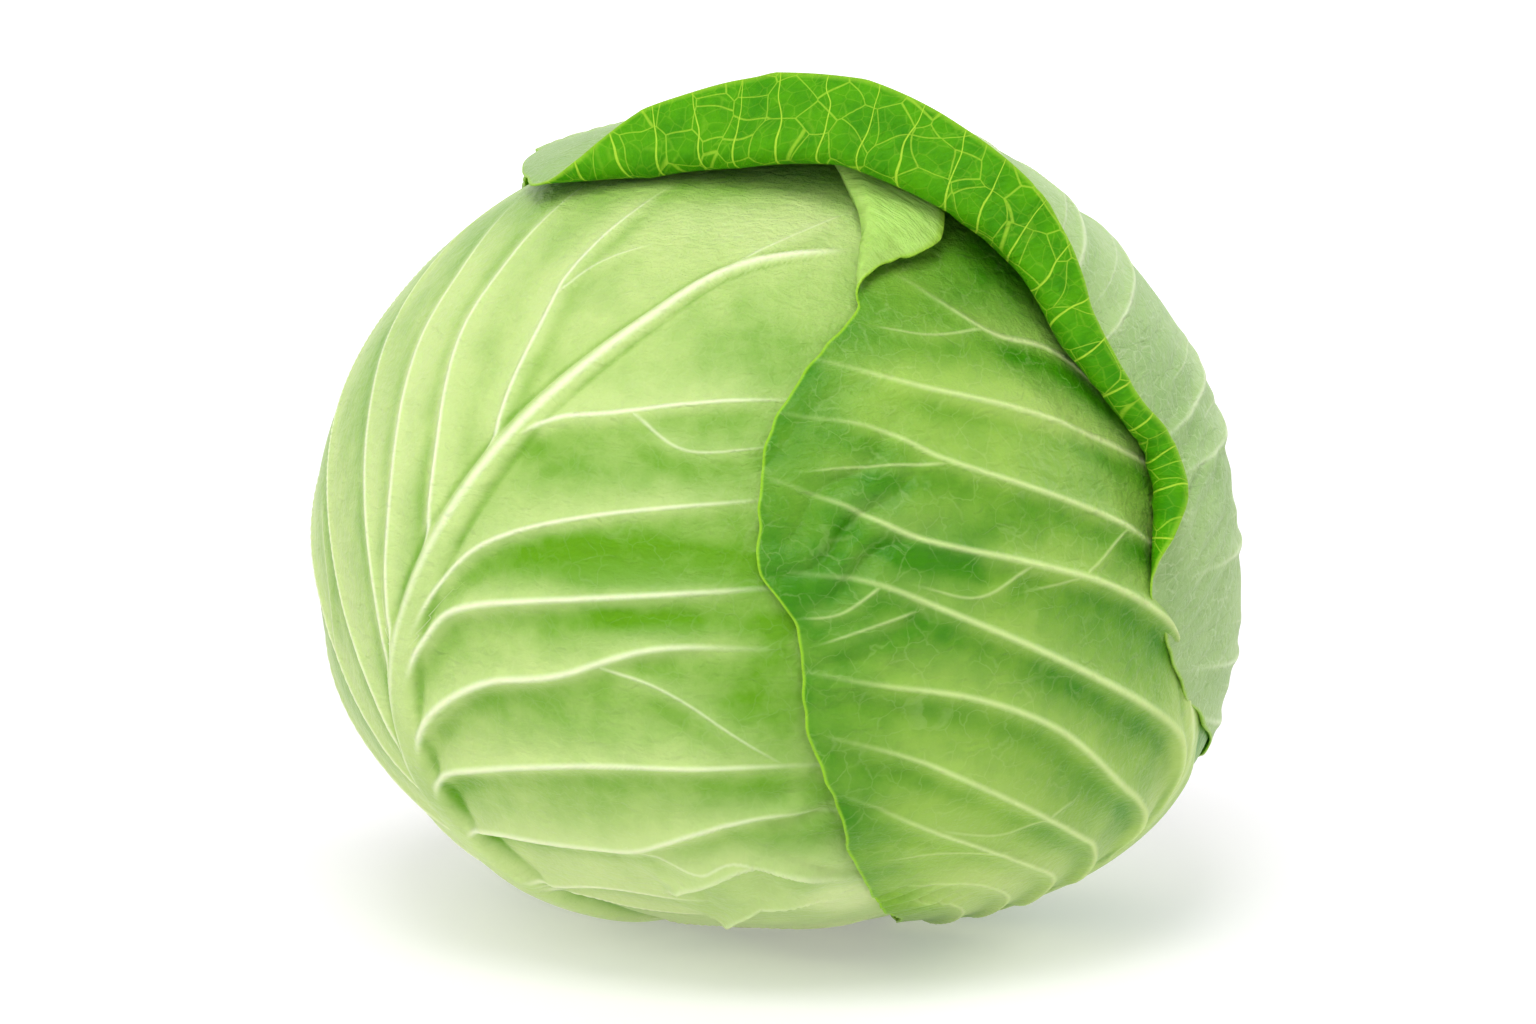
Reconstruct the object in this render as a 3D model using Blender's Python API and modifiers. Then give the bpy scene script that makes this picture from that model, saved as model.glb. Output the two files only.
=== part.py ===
"""Green cabbage head: a solid heart wrapped in thin leaves, resting on its cut stem.

Every leaf is drawn flat, as a bearing-and-distance outline around its own middle, and laid on the
head at its own level, so the leaves nest inside one another without touching.
"""
import math

import bmesh
import bpy
from mathutils import Vector

MM = 0.001
UP = Vector((0.0, 0.0, 1.0))

# The head, in millimetres. Levels count outwards from the outer face of the left front leaf.
CENTRE = Vector((0.0, 0.0, 81.0))       # middle of the head above the cut face of the stem
HEAD = ((0, 80.5), (20, 81.5), (35, 84.5), (50, 87.5), (65, 90), (80, 92), (95, 93), (110, 93.2),
        (125, 91.5), (137, 89.5), (150, 85.3), (157, 82), (165, 78.3), (172, 76), (180, 75))
LEAN = 2.0                              # how far the whole head leans to one side
BELLY = 3.0                             # how much more its lower part bulges on that side
LEAN_AZIMUTH = 100.0
HEART_LEVEL = -7.0

# The leaves, in millimetres.
FLAT_RADIUS = 90.0                      # a flat outline is laid on a ball of this radius
BLADE = 0.9
RIB_PROFILE = (1.0, 0.72, 0.16)         # height of a midrib at its crest and the grid lines beside it
HEM_INSIDE = 5.0                        # a curled leaf's rim strip starts this far inside the fold
HEM_RINGS = 4                           # grid lines of the rim strip

# The stem.
STUMP_RADIUS, STUMP_TOP_RADIUS, STUMP_HEIGHT, STUMP_BEVEL = 16.5, 15.0, 9.0, 0.8

INNER_OUTLINE = ((0, 84), (45, 80), (90, 66), (125, 62), (150, 70), (170, 80),
                 (190, 80), (210, 70), (235, 62), (270, 66), (315, 80))

# azimuth: 0 is the front, 90 is the right-hand side. outline: (bearing from the leaf's top, distance).
# rib: (height, polar angle where it starts, polar angle of full height, turn at tip, at base, bow).
LEAVES = (
    dict(name="inner_leaf_front", azimuth=15, elevation=-25, level=-4.7, outline=INNER_OUTLINE,
         rings=7, colour=(0.66, 0.78, 0.34)),
    dict(name="inner_leaf_left", azimuth=-95, elevation=-25, level=-4.7, outline=INNER_OUTLINE,
         rings=7, colour=(0.64, 0.76, 0.33)),
    dict(name="inner_leaf_right", azimuth=120, elevation=-25, level=-4.7, outline=INNER_OUTLINE,
         rings=7, colour=(0.62, 0.75, 0.32)),
    dict(name="back_left_leaf", azimuth=-130, elevation=0, level=-2.3, rings=12,
         outline=((7, 87), (36, 65), (71, 52), (90, 48), (109, 50), (137, 67), (152, 94), (162, 110),
                  (173, 118), (187, 118), (197, 106), (215, 107), (250, 103), (292, 105),
                  (319, 109), (340, 103), (352, 95)),
         rib=(3.0, 125, 150, 0, 0, 0), colour=(0.42, 0.62, 0.20)),
    dict(name="left_front_leaf", azimuth=-35, elevation=0, level=0.0, rings=13,
         outline=((0, 157), (18, 154), (34, 134), (50, 108), (70, 90), (100, 84), (120, 92),
                  (136, 105), (146, 108), (160, 106), (178, 118), (190, 117), (210, 115),
                  (235, 141), (265, 170), (300, 166), (330, 159)),
         rib=(4.2, 40, 105, 35, 3, -19), colour=(0.50, 0.68, 0.25)),
    dict(name="right_front_leaf", azimuth=62, elevation=0, level=2.3, rings=10,
         outline=((16, 105), (36, 95), (59, 87), (90, 83), (120, 89), (145, 108), (162, 113),
                  (172, 119), (186, 118), (196, 110), (208, 98), (219, 88), (241, 89), (258, 92),
                  (270, 94), (278, 98), (291, 99), (304, 94), (316, 90), (328, 95), (337, 104),
                  (346, 116), (359, 113)),
         rib=(3.0, 112, 140, 0, -2, 30), colour=(0.26, 0.50, 0.10),
         curl=dict(radius=1.5, turn=181.0,
                   width=((314, 0), (326, 13), (336, 20), (343, 9), (348, 0)))),
    dict(name="wrapper_leaf", azimuth=150, elevation=10, level=4.6, rings=11,
         outline=((0, 170), (12, 176), (17, 176), (22, 168), (30, 143), (41, 128), (59, 116),
                  (80, 114), (102, 114), (125, 112), (148, 114), (162, 126), (173, 129), (185, 128),
                  (196, 127), (209, 113), (221, 109), (233, 111), (244, 126), (254, 145),
                  (264, 154), (275, 157), (284, 152), (290, 149), (303, 149), (313, 155),
                  (327, 158), (345, 165)),
         rib=(1.9, 40, 130, 0, 0, 0), colour=(0.20, 0.42, 0.08),
         lift=((0, 1), (17, 1), (40, 0), (250, 0), (290, 0.5), (308, 4), (342, 4), (354, 1)),
         curl=dict(radius=3.0, turn=135.0,
                   width=((0, 14), (8, 8), (14, 4), (19, 0), (268, 0), (280, 4), (290, 7),
                          (303, 12), (313, 17), (327, 20), (345, 21)))),
)


def ease(low, high, value):
    """Rise smoothly from 0 at low to 1 at high."""
    share = min(max((value - low) / (high - low), 0.0), 1.0)
    return share * share * (3.0 - 2.0 * share)


def closed_curve(points, angle):
    """Read the smooth closed curve through (degrees, value) points."""
    angle = (angle - points[0][0]) % 360.0 + points[0][0]
    index = max(i for i, point in enumerate(points) if point[0] <= angle)
    around = []
    for step in (-1, 0, 1, 2):
        turns, i = divmod(index + step, len(points))
        around.append((points[i][0] + 360.0 * turns, points[i][1]))
    (xa, ya), (xb, yb), (xc, yc), (xd, yd) = around
    gap = xc - xb
    t = (angle - xb) / gap
    start, end = gap * (yc - ya) / (xc - xa), gap * (yd - yb) / (xd - xb)
    return (((1 + 2 * t) * yb + t * start) * (1 - t) ** 2
            + ((3 - 2 * t) * yc - (1 - t) * end) * t ** 2)


def open_curve(points, angle):
    """Read the straight-sided curve through (degrees, value) points."""
    angle = (angle - points[0][0]) % 360.0 + points[0][0]
    for (xa, ya), (xb, yb) in zip(points, list(points[1:]) + [(points[0][0] + 360.0, points[0][1])]):
        if angle <= xb:
            return ya + (yb - ya) * (angle - xa) / (xb - xa)
    return points[0][1]


ROUND_HEAD = HEAD + tuple((360 - angle, radius) for angle, radius in reversed(HEAD[1:-1]))


def polar_angle(direction):
    """Angle of a direction from straight up, in degrees."""
    return math.degrees(direction.angle(UP))


def on_head(direction, level):
    """Point of the head in a direction from its middle, at a level."""
    polar = polar_angle(direction)
    azimuth = math.atan2(direction.x, -direction.y)
    toward = math.cos(azimuth - math.radians(LEAN_AZIMUTH))
    low = ease(88.0, 118.0, polar) * (1.0 - ease(128.0, 152.0, polar))
    bulge = LEAN * math.sin(math.radians(polar)) * toward + BELLY * low * (0.5 + 0.5 * toward) ** 2
    return CENTRE + direction * (closed_curve(ROUND_HEAD, polar) + bulge + level)


def flat_direction(leaf, bearing, distance):
    """Direction from the head's middle to a point of a leaf's flat outline."""
    azimuth, elevation = math.radians(leaf["azimuth"]), math.radians(leaf["elevation"])
    right = Vector((math.cos(azimuth), math.sin(azimuth), 0.0))
    middle = Vector((math.sin(azimuth) * math.cos(elevation),
                     -math.cos(azimuth) * math.cos(elevation), math.sin(elevation)))
    turn, angle = math.radians(bearing), distance / FLAT_RADIUS
    across = right * math.sin(turn) + middle.cross(right) * math.cos(turn)
    return middle * math.cos(angle) + across * math.sin(angle)


def edge_lift(leaf, bearing):
    """How far the rim of a leaf stands off its level at a bearing."""
    return open_curve(leaf["lift"], bearing) if "lift" in leaf else 0.0


def leaf_edge(leaf, bearing):
    """Point on the outline of a leaf, or on the fold of a curled one."""
    distance = closed_curve(leaf["outline"], bearing)
    return on_head(flat_direction(leaf, bearing, distance), leaf["level"] + edge_lift(leaf, bearing))


def curled_point(leaf, bearing, past):
    """Point of a curled rim, a distance past the fold, rolled outwards away from the head."""
    radius, turn = leaf["curl"]["radius"], math.radians(leaf["curl"]["turn"])
    fold = leaf_edge(leaf, bearing)
    outward = (fold - CENTRE).normalized()
    along = leaf_edge(leaf, bearing + 1.0) - leaf_edge(leaf, bearing - 1.0)
    forward = outward.cross(along).normalized()
    rolled = min(past / radius, turn)
    straight = max(past - radius * turn, 0.0)
    return (fold + forward * (radius * math.sin(rolled) + straight * math.cos(turn))
            + outward * (radius * (1.0 - math.cos(rolled)) + straight * math.sin(turn)))


def rim_position(leaf, bearing, line):
    """How far past the fold a grid line of the rim strip lies."""
    width = open_curve(leaf["curl"]["width"], bearing)
    arc = leaf["curl"]["radius"] * math.radians(leaf["curl"]["turn"])
    flat = -HEM_INSIDE * (1.0 - line / HEM_RINGS)
    rolled = (0.0, min(arc / 2.0, width / 3.0), min(arc, width * 2.0 / 3.0), width)[line - 1]
    return flat + (rolled - flat) * min(width / 4.0, 1.0)


def grid_steps(leaf):
    """Grid lines of a leaf: close together beside the midrib, then even out to the edge."""
    rings = leaf["rings"]
    if not leaf.get("rib"):
        return [i / rings for i in range(rings + 1)]
    return [0.0, 0.026, 0.062] + [0.062 + 0.938 * (i / (rings - 2)) for i in range(1, rings - 1)]


def leaf_bearing(leaf, across, up):
    """Bearing of a square grid's point when the square is rounded into a disc."""
    if across == 0 and up == 0:
        return 0.0
    if abs(up) >= abs(across):
        bearing = (0.0 if up > 0 else 180.0) + 45.0 * across / up
    else:
        bearing = (90.0 if across > 0 else 270.0) - 45.0 * up / across
    tip, base = leaf["rib"][3:5] if leaf.get("rib") else (0.0, 0.0)
    toward_tip = 0.5 + 0.5 * math.cos(math.radians(bearing))
    return bearing + tip * toward_tip + base * (1.0 - toward_tip)


def rib_height(leaf, column, polar):
    """How far the midrib stands out of a leaf on one of its grid columns."""
    if not leaf.get("rib") or abs(column) >= len(RIB_PROFILE):
        return 0.0
    height, start, full = leaf["rib"][:3]
    return height * RIB_PROFILE[abs(column)] * ease(start, full, polar) * (1.0 - 0.75 * ease(146, 162, polar))


def leaf_vertex(leaf, steps, column, row):
    """Outer-face point of a leaf at a grid crossing."""
    ring, body = max(abs(column), abs(row)), leaf["rings"]
    across = math.copysign(steps[abs(column)], column)
    up = math.copysign(steps[abs(row)], row)
    bearing = leaf_bearing(leaf, across, up)
    edge = closed_curve(leaf["outline"], bearing)
    inside = HEM_INSIDE if "curl" in leaf else 0.0
    if ring > body:
        past = rim_position(leaf, bearing, ring - body)
        if past > 0.0:
            return curled_point(leaf, bearing, past)
        distance = edge + past
    else:
        distance = steps[ring] * (edge - inside)
    share = min(steps[ring], 1.0)
    bow = leaf["rib"][5] * (1.0 - share ** 2) if leaf.get("rib") else 0.0
    x = distance * math.sin(math.radians(bearing)) + bow
    y = distance * math.cos(math.radians(bearing))
    direction = flat_direction(leaf, math.degrees(math.atan2(x, y)), math.hypot(x, y))
    lift = edge_lift(leaf, bearing) * (1.0 - ease(12.0, 60.0, edge - distance))
    rib = rib_height(leaf, column, polar_angle(direction))
    return on_head(direction, leaf["level"] + lift + rib)


def material(name, colour, roughness=0.5):
    """Make a plain Principled material."""
    made = bpy.data.materials.new(name)
    made.use_nodes = True
    shader = made.node_tree.nodes["Principled BSDF"]
    shader.inputs["Base Color"].default_value = (*colour, 1.0)
    shader.inputs["Roughness"].default_value = roughness
    return made


def add_object(name, bm, colour, collection):
    """Turn a bmesh in millimetres into a named object in metres with its own material."""
    bmesh.ops.scale(bm, vec=(MM, MM, MM), verts=bm.verts)
    mesh = bpy.data.meshes.new(name)
    bm.to_mesh(mesh)
    bm.free()
    mesh.materials.append(material(name, colour))
    obj = bpy.data.objects.new(name, mesh)
    collection.objects.link(obj)
    return obj


def build_leaf(leaf, collection):
    """Build a leaf: a grid bent onto the head, then thickened inwards."""
    steps = grid_steps(leaf)
    if "curl" in leaf:
        steps += [1.0 + 0.06 * (i + 1) for i in range(HEM_RINGS)]
    half = len(steps) - 1
    bm = bmesh.new()
    bmesh.ops.create_grid(bm, x_segments=2 * half, y_segments=2 * half, size=half)
    for vertex in bm.verts:
        vertex.co = leaf_vertex(leaf, steps, round(vertex.co.x), round(vertex.co.y))
    obj = add_object(leaf["name"], bm, leaf["colour"], collection)
    solid = obj.modifiers.new("blade", "SOLIDIFY")
    solid.thickness = BLADE * MM
    solid.offset = -1.0
    return obj


def build_heart(collection):
    """Build the packed heart as one solid ball in the head's own shape."""
    bm = bmesh.new()
    bmesh.ops.create_uvsphere(bm, u_segments=32, v_segments=20, radius=1.0)
    for vertex in bm.verts:
        vertex.co = on_head(vertex.co.normalized(), HEART_LEVEL)
    return add_object("heart", bm, (0.72, 0.80, 0.45), collection)


def build_stump(collection):
    """Build the cut stem, a short round stub with a softened rim."""
    bm = bmesh.new()
    bmesh.ops.create_cone(bm, cap_ends=True, segments=40, radius1=STUMP_RADIUS,
                          radius2=STUMP_TOP_RADIUS, depth=STUMP_HEIGHT)
    bmesh.ops.translate(bm, vec=(0.0, 0.0, STUMP_HEIGHT / 2.0), verts=bm.verts)
    rim = [edge for edge in bm.edges if all(vertex.co.z < 0.001 for vertex in edge.verts)]
    bmesh.ops.bevel(bm, geom=rim, offset=STUMP_BEVEL, segments=2, profile=0.5, affect="EDGES")
    return add_object("stem_stump", bm, (0.80, 0.83, 0.62), collection)


def centre_on_origin(objects):
    """Slide everything sideways until the middle of its bounding box is over the origin."""
    bpy.context.view_layer.update()
    graph = bpy.context.evaluated_depsgraph_get()
    points = [vertex.co.copy() for obj in objects
              for vertex in obj.evaluated_get(graph).to_mesh().vertices]
    middle = [(min(p[axis] for p in points) + max(p[axis] for p in points)) / 2.0 for axis in (0, 1)]
    for obj in objects:
        for vertex in obj.data.vertices:
            vertex.co -= Vector((middle[0], middle[1], 0.0))


def build():
    """Build the whole cabbage in a collection of its own."""
    for obj in list(bpy.data.objects):
        bpy.data.objects.remove(obj, do_unlink=True)
    collection = bpy.data.collections.new("cabbage_head")
    bpy.context.scene.collection.children.link(collection)
    objects = [build_stump(collection), build_heart(collection)]
    objects += [build_leaf(leaf, collection) for leaf in LEAVES]
    centre_on_origin(objects)


build()
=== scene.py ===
"""A green cabbage head: veined outer leaves wrapped round a packed heart, on a white table.

Every leaf is worked out on a flat pattern in millimetres, laid over the head at its own level, given
its midrib, veins and folds as real relief, and closed into a thin shell.
"""
import logging
from dataclasses import dataclass, field
from enum import Enum
from typing import Optional, Sequence, Union

import bpy
import numpy as np
from mathutils import Matrix, Vector


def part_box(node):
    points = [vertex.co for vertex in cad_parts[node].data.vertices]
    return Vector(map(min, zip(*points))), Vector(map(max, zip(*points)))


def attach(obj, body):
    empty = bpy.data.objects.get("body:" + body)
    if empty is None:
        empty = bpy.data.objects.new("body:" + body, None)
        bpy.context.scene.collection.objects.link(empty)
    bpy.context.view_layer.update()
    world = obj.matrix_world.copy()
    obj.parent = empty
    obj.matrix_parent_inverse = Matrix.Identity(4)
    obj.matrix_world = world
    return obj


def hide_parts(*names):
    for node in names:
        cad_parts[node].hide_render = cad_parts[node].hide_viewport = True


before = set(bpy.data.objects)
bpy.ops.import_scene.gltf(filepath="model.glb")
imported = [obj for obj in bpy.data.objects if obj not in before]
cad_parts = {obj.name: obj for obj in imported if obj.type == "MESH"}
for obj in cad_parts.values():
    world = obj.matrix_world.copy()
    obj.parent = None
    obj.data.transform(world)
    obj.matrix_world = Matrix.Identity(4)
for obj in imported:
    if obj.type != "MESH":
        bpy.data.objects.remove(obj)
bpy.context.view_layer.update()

MM = 0.001
Array = np.ndarray
Path = tuple[tuple[float, float], ...]
Socket = bpy.types.NodeSocket
Value = Union[Socket, float, tuple[float, ...]]
log = logging.getLogger("cabbage")


class Side(Enum):
    """Which side of a vein the blade swells up to it on, seen along the vein from its root."""

    LEFT = 1.0
    RIGHT = -1.0


def ease(low: float, high: float, value: Array) -> Array:
    """Rise smoothly from 0 at low to 1 at high: 3 t squared minus 2 t cubed.

    Args:
        low: where the rise starts.
        high: where it ends; it may be less than low.
        value: where it is read.

    Returns:
        The share risen, 0 to 1.
    """
    share = np.clip((value - low) / (high - low), 0.0, 1.0)
    return share * share * (3.0 - 2.0 * share)


def closed_curve(points: Path, angle: Array) -> Array:
    """Read a smooth closed curve: a cubic between neighbours whose slopes join their neighbours.

    Args:
        points: (degrees, value) pairs in rising order, within one turn.
        angle: where it is read, in degrees.

    Returns:
        The curve's values.
    """
    x, y = np.array(points, dtype=float).T
    x3, y3 = np.concatenate([x - 360.0, x, x + 360.0]), np.tile(y, 3)
    slope = np.gradient(y3, x3)
    slope[1:-1] = (y3[2:] - y3[:-2]) / (x3[2:] - x3[:-2])
    turned = (np.asarray(angle, dtype=float) - x[0]) % 360.0 + x[0]
    i = np.clip(np.searchsorted(x3, turned, side="right") - 1, 0, len(x3) - 2)
    gap = x3[i + 1] - x3[i]
    t = (turned - x3[i]) / gap
    return (((1 + 2 * t) * y3[i] + t * gap * slope[i]) * (1 - t) ** 2
            + ((3 - 2 * t) * y3[i + 1] - (1 - t) * gap * slope[i + 1]) * t ** 2)


def straight_curve(points: Path, angle: Array) -> Array:
    """Read a closed curve of straight pieces.

    Args:
        points: (degrees, value) pairs in rising order, within one turn.
        angle: where it is read, in degrees.

    Returns:
        The curve's values.
    """
    x, y = np.array(points, dtype=float).T
    turned = (np.asarray(angle, dtype=float) - x[0]) % 360.0 + x[0]
    return np.interp(turned, np.append(x, x[0] + 360.0), np.append(y, y[0]))


def smooth_path(points: Path, pieces: int = 7) -> Array:
    """Round a path: between two points, a cubic whose slopes follow the neighbouring points.

    Args:
        points: the (x, y) points it passes through.
        pieces: straight pieces between two points.

    Returns:
        The rounded path, one row for each point.
    """
    p = np.array(points, dtype=float)
    if len(p) < 3:
        return p
    padded = np.vstack([2 * p[0] - p[1], p, 2 * p[-1] - p[-2]])
    t = np.linspace(0.0, 1.0, pieces, endpoint=False)[:, None, None]
    a, b, c, d = padded[:-3], padded[1:-2], padded[2:-1], padded[3:]
    curve = 0.5 * (2 * b + (c - a) * t + (2 * a - 5 * b + 4 * c - d) * t ** 2
                   + (3 * b - a - 3 * c + d) * t ** 3)
    return np.vstack([curve.transpose(1, 0, 2).reshape(-1, 2), p[-1:]])


def waves(points: Array, length: float, seed: int, count: int = 7) -> Array:
    """Gentle unevenness: the mean of plain sine waves crossing in all directions.

    Args:
        points: positions in millimetres, last axis of 2 or 3.
        length: the waves' length in millimetres.
        seed: picks their directions and phases.
        count: how many waves.

    Returns:
        Heights of about -1 to 1.
    """
    rng = np.random.default_rng(seed)
    total = np.zeros(points.shape[:-1])
    for _ in range(count):
        way = rng.normal(size=points.shape[-1])
        way *= 2.0 * np.pi / (length * rng.uniform(0.7, 1.4) * np.linalg.norm(way))
        total += np.sin(points @ way + rng.uniform(0.0, 2.0 * np.pi))
    return total * (1.6 / count)


@dataclass(frozen=True)
class HeadShape:
    """The head's overall form: a ball whose radius changes with the angle from straight up.

    Levels are millimetres outside the left front leaf's outer face. Towards lean_azimuth the whole
    head is fuller by lean, and its lower half by belly. flank is how far the far and the near side
    are drawn in over the middle, and tuck how far they are under it.
    """

    axis: tuple[float, float]
    height: float = 81.0
    profile: Path = ((0, 80.5), (20, 81.5), (35, 84.5), (50, 87.5), (65, 90), (80, 92), (95, 93),
                     (110, 93.2), (125, 91.5), (137, 89.5), (150, 85.3), (157, 82), (165, 78.3),
                     (172, 76), (180, 75))
    lean: float = 2.0
    belly: float = 4.4
    flank: tuple[float, float] = (1.3, 3.2)
    tuck: tuple[float, float] = (1.1, 1.2)
    lean_azimuth: float = 100.0

    @property
    def centre(self) -> Array:
        """Middle of the head in millimetres."""
        return np.array([self.axis[0], self.axis[1], self.height])

    def point(self, direction: Array, level: Array) -> Array:
        """Place points: the centre, plus the direction times the profile's radius and the level.

        Args:
            direction: unit directions from the centre.
            level: millimetres outside the reference face.

        Returns:
            Positions in millimetres.
        """
        polar = np.degrees(np.arccos(np.clip(direction[..., 2], -1.0, 1.0)))
        azimuth = np.arctan2(direction[..., 0], -direction[..., 1])
        mirrored = self.profile + tuple((360 - a, r) for a, r in reversed(self.profile[1:-1]))
        toward = np.cos(azimuth - np.radians(self.lean_azimuth))
        low = ease(88.0, 118.0, polar) * (1.0 - ease(120.0, 144.0, polar))
        waist = ease(28.0, 60.0, polar) * (1.0 - ease(98.0, 118.0, polar))
        under = ease(112.0, 138.0, polar) * (1.0 - ease(148.0, 166.0, polar))
        near, far = (0.5 + 0.5 * toward) ** 2, (0.5 - 0.5 * toward) ** 2
        bulge = (self.lean * np.sin(np.radians(polar)) * toward + self.belly * low * near
                 - waist * (self.flank[0] * far + self.flank[1] * near)
                 - under * (self.tuck[0] * far + self.tuck[1] * near))
        radius = closed_curve(mirrored, polar) + bulge + level
        return self.centre + direction * radius[..., None]


@dataclass
class Relief:
    """What the veins make of a flat leaf, at each of its points.

    height is the blade's in millimetres, and ridge what the veins themselves add to it. side holds
    signed distances from the nearest vein, side branch and midrib, in their own half-widths, and
    plain says how plainly each shows. near is how far the blade pales beside a vein, partly with
    painted light on its swell, and it falls below 0 where painted shade lies just under the veins
    and along the midrib's flanks. The shade under the veins is gathered apart until settle takes it off.
    """

    x: Array
    y: Array
    grain: float
    height: Array = field(init=False)
    ridge: Array = field(init=False)
    near: Array = field(init=False)
    painted_shade_under: Array = field(init=False)
    side: Array = field(init=False)
    plain: Array = field(init=False)

    def __post_init__(self) -> None:
        """Start from a bare, flat blade."""
        self.height, self.ridge, self.near, self.painted_shade_under = (np.zeros(self.x.shape) for _ in range(4))
        self.side, self.plain = np.full(self.x.shape + (3,), 9.0), np.zeros(self.x.shape + (3,))

    def settle(self) -> None:
        """Level the swells where several meet, add the ridges to them, and take the painted shade under
        the veins off the pale band beside them.
        """
        most = 1.3 * np.maximum(self.height.max() * 0.8, 1e-6)
        self.height = np.minimum(self.height, most) + self.ridge
        self.near = self.near - self.painted_shade_under


@dataclass(frozen=True)
class Vein:
    """A vein: its path from root to tip on the flat leaf, with sizes in millimetres at its root.

    On one side the blade swells up to it by ledge over the distance swell. tip is how much of its
    size is left at its end, and tone how bright it is.
    """

    path: Path
    width: float = 1.0
    height: float = 0.9
    ledge: float = 0.8
    side: Side = Side.LEFT
    tip: float = 0.35
    swell: float = 10.0
    tone: float = 1.0
    branch: bool = False

    def press(self, relief: Relief) -> None:
        """Raise the vein in a leaf.

        It is a bell-shaped ridge. On one side the blade swells up to it over several millimetres,
        and on the other it falls away at once, as a leaf pressed from within does. Its colour marks
        are partly painted: the pale band beside it, broad on the swelling side, is partly the vein's
        own paleness and partly painted light where the blade tilts up towards the lamps, and a darker
        line just past the steep side is painted shade.

        Args:
            relief: the leaf's relief, which it changes.
        """
        path = smooth_path(self.path)
        low, high = path.min(0) - 24.0, path.max(0) + 24.0
        x, y = relief.x, relief.y
        box = (x > low[0]) & (x < high[0]) & (y > low[1]) & (y < high[1])
        signed, share = along_path(x[box], y[box], path)
        gap = np.abs(signed)
        taper = self.tip + (1.0 - self.tip) * (1.0 - share) ** 1.2
        width = self.width * (0.45 + 0.55 * taper)
        root, end = ease(0.0, 0.12, share), 1.0 - ease(0.75, 1.0, share) * 0.85
        bell = np.exp(-(gap / np.maximum(width, 0.6 * relief.grain)) ** 2)
        relief.ridge[box] = np.maximum(relief.ridge[box], self.height * taper * end * bell)
        slow = signed * self.side.value > 0.0
        swell = np.exp(-(gap / np.where(slow, self.swell, 2.2)) ** np.where(slow, 1.2, 2.0))
        relief.height[box] += self.ledge * taper * root * end * swell
        layer = int(self.branch)
        scaled, known = signed / (0.62 * width + 0.1), relief.side[box, layer]
        relief.side[box, layer] = np.where(np.abs(scaled) < np.abs(known), scaled, known)
        show = self.tone * (0.4 + 0.6 * taper) * end * (0.55 + 0.45 * root)
        plain = show * np.exp(-(gap / relief.grain) ** 2)
        relief.plain[box, layer] = np.maximum(relief.plain[box, layer], plain)
        # Painted light: the pale band beside the vein, broad on the side where the blade swells up towards
        # the lamps, narrow on the other.
        near = show * np.exp(-(gap / np.where(slow, 0.6 * self.swell, 2.0)) ** 1.2)
        relief.near[box] = np.maximum(relief.near[box], near)
        # Painted shade: a darker line just past the vein's steep side, where the blade falls away.
        painted_shade_under = np.where(slow, 0.0, np.exp(-((gap - 3.6) / 2.0) ** 2))
        relief.painted_shade_under[box] = np.maximum(relief.painted_shade_under[box], 0.4 * show * root * painted_shade_under)


@dataclass(frozen=True)
class Midrib:
    """The leaf's stalk running on through the blade, with sizes in millimetres at its root.

    It thins towards its tip by the power fall, and pale is how pale its root is.
    """

    path: Path
    width: float
    height: float
    tip_width: float
    tip_height: float
    fall: float = 1.1
    pale: float = 0.35

    def press(self, relief: Relief) -> None:
        """Raise the midrib in a leaf, over the veins that spring from it.

        Args:
            relief: the leaf's relief, which it changes.
        """
        signed, share = along_path(relief.x, relief.y, smooth_path(self.path, 10))
        gap = np.abs(signed)
        taper = (1.0 - share) ** self.fall
        width = self.tip_width + (self.width - self.tip_width) * taper
        tall = self.tip_height + (self.height - self.tip_height) * taper
        tall = tall * (0.3 + 0.7 * ease(0.0, 0.22, share))
        end = 1.0 - ease(0.93, 1.0, share)
        bell = np.exp(-(gap / width) ** 4)
        # A shallow groove along each flank, with a darker line in the colour there that is painted shade.
        groove_and_painted_shade = np.exp(-((gap - 1.35 * width) / (0.3 * width)) ** 2) * end
        blade = np.maximum(relief.height, 0.0) * (1.0 - bell)
        relief.height = blade + tall * end * bell - 0.1 * tall * groove_and_painted_shade
        relief.plain = relief.plain * (1.0 - bell)[..., None]
        # The crest is a bright line, near the left flank of the broad stalk and central at the tip: partly
        # the midrib's own pale line, partly a painted highlight where the left flank catches the light.
        shift = Side.LEFT.value * 0.72 * width * (1.0 - ease(0.35, 0.75, share))
        crest = end * bell * ease(0.1, 0.3, share) * (0.45 + 0.55 * ease(0.4, 0.85, share))
        relief.plain[..., 2] = crest
        relief.side[..., 2] = (signed - shift) / (0.18 * self.width + 0.1)
        near = relief.near * (1.0 - bell) + end * bell * (self.pale + (1.0 - self.pale) * share)
        # Darker along both flanks: painted shade.
        relief.near = near - groove_and_painted_shade * (0.9 - 0.5 * share)


@dataclass(frozen=True)
class Pucker:
    """A patch of parallel creases on the flat leaf. heading is the way they run, in degrees."""

    middle: tuple[float, float]
    size: tuple[float, float]
    length: float
    height: float
    heading: float
    seed: int


@dataclass(frozen=True)
class Patch:
    """A soft-edged patch of another green on the flat leaf: deeper, or paler where it is below 0. Some are
    the leaf's own tints, others painted shade and painted highlights.
    """

    middle: tuple[float, float]
    size: tuple[float, float]
    deep: float = 0.0
    pale: float = 0.0
    heading: float = 0.0


@dataclass(frozen=True)
class Curl:
    """A rim rolled outwards: its roll radius, how far it turns, and how wide it is by bearing."""

    radius: float
    turn: Path
    width: Path
    rings: int
    inside: float = 5.0
    ruffle: float = 0.0


@dataclass(frozen=True)
class Lift:
    """How far the rim stands off the leaf's level by bearing, easing in between two distances."""

    amount: Path
    near: float
    far: float


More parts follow.
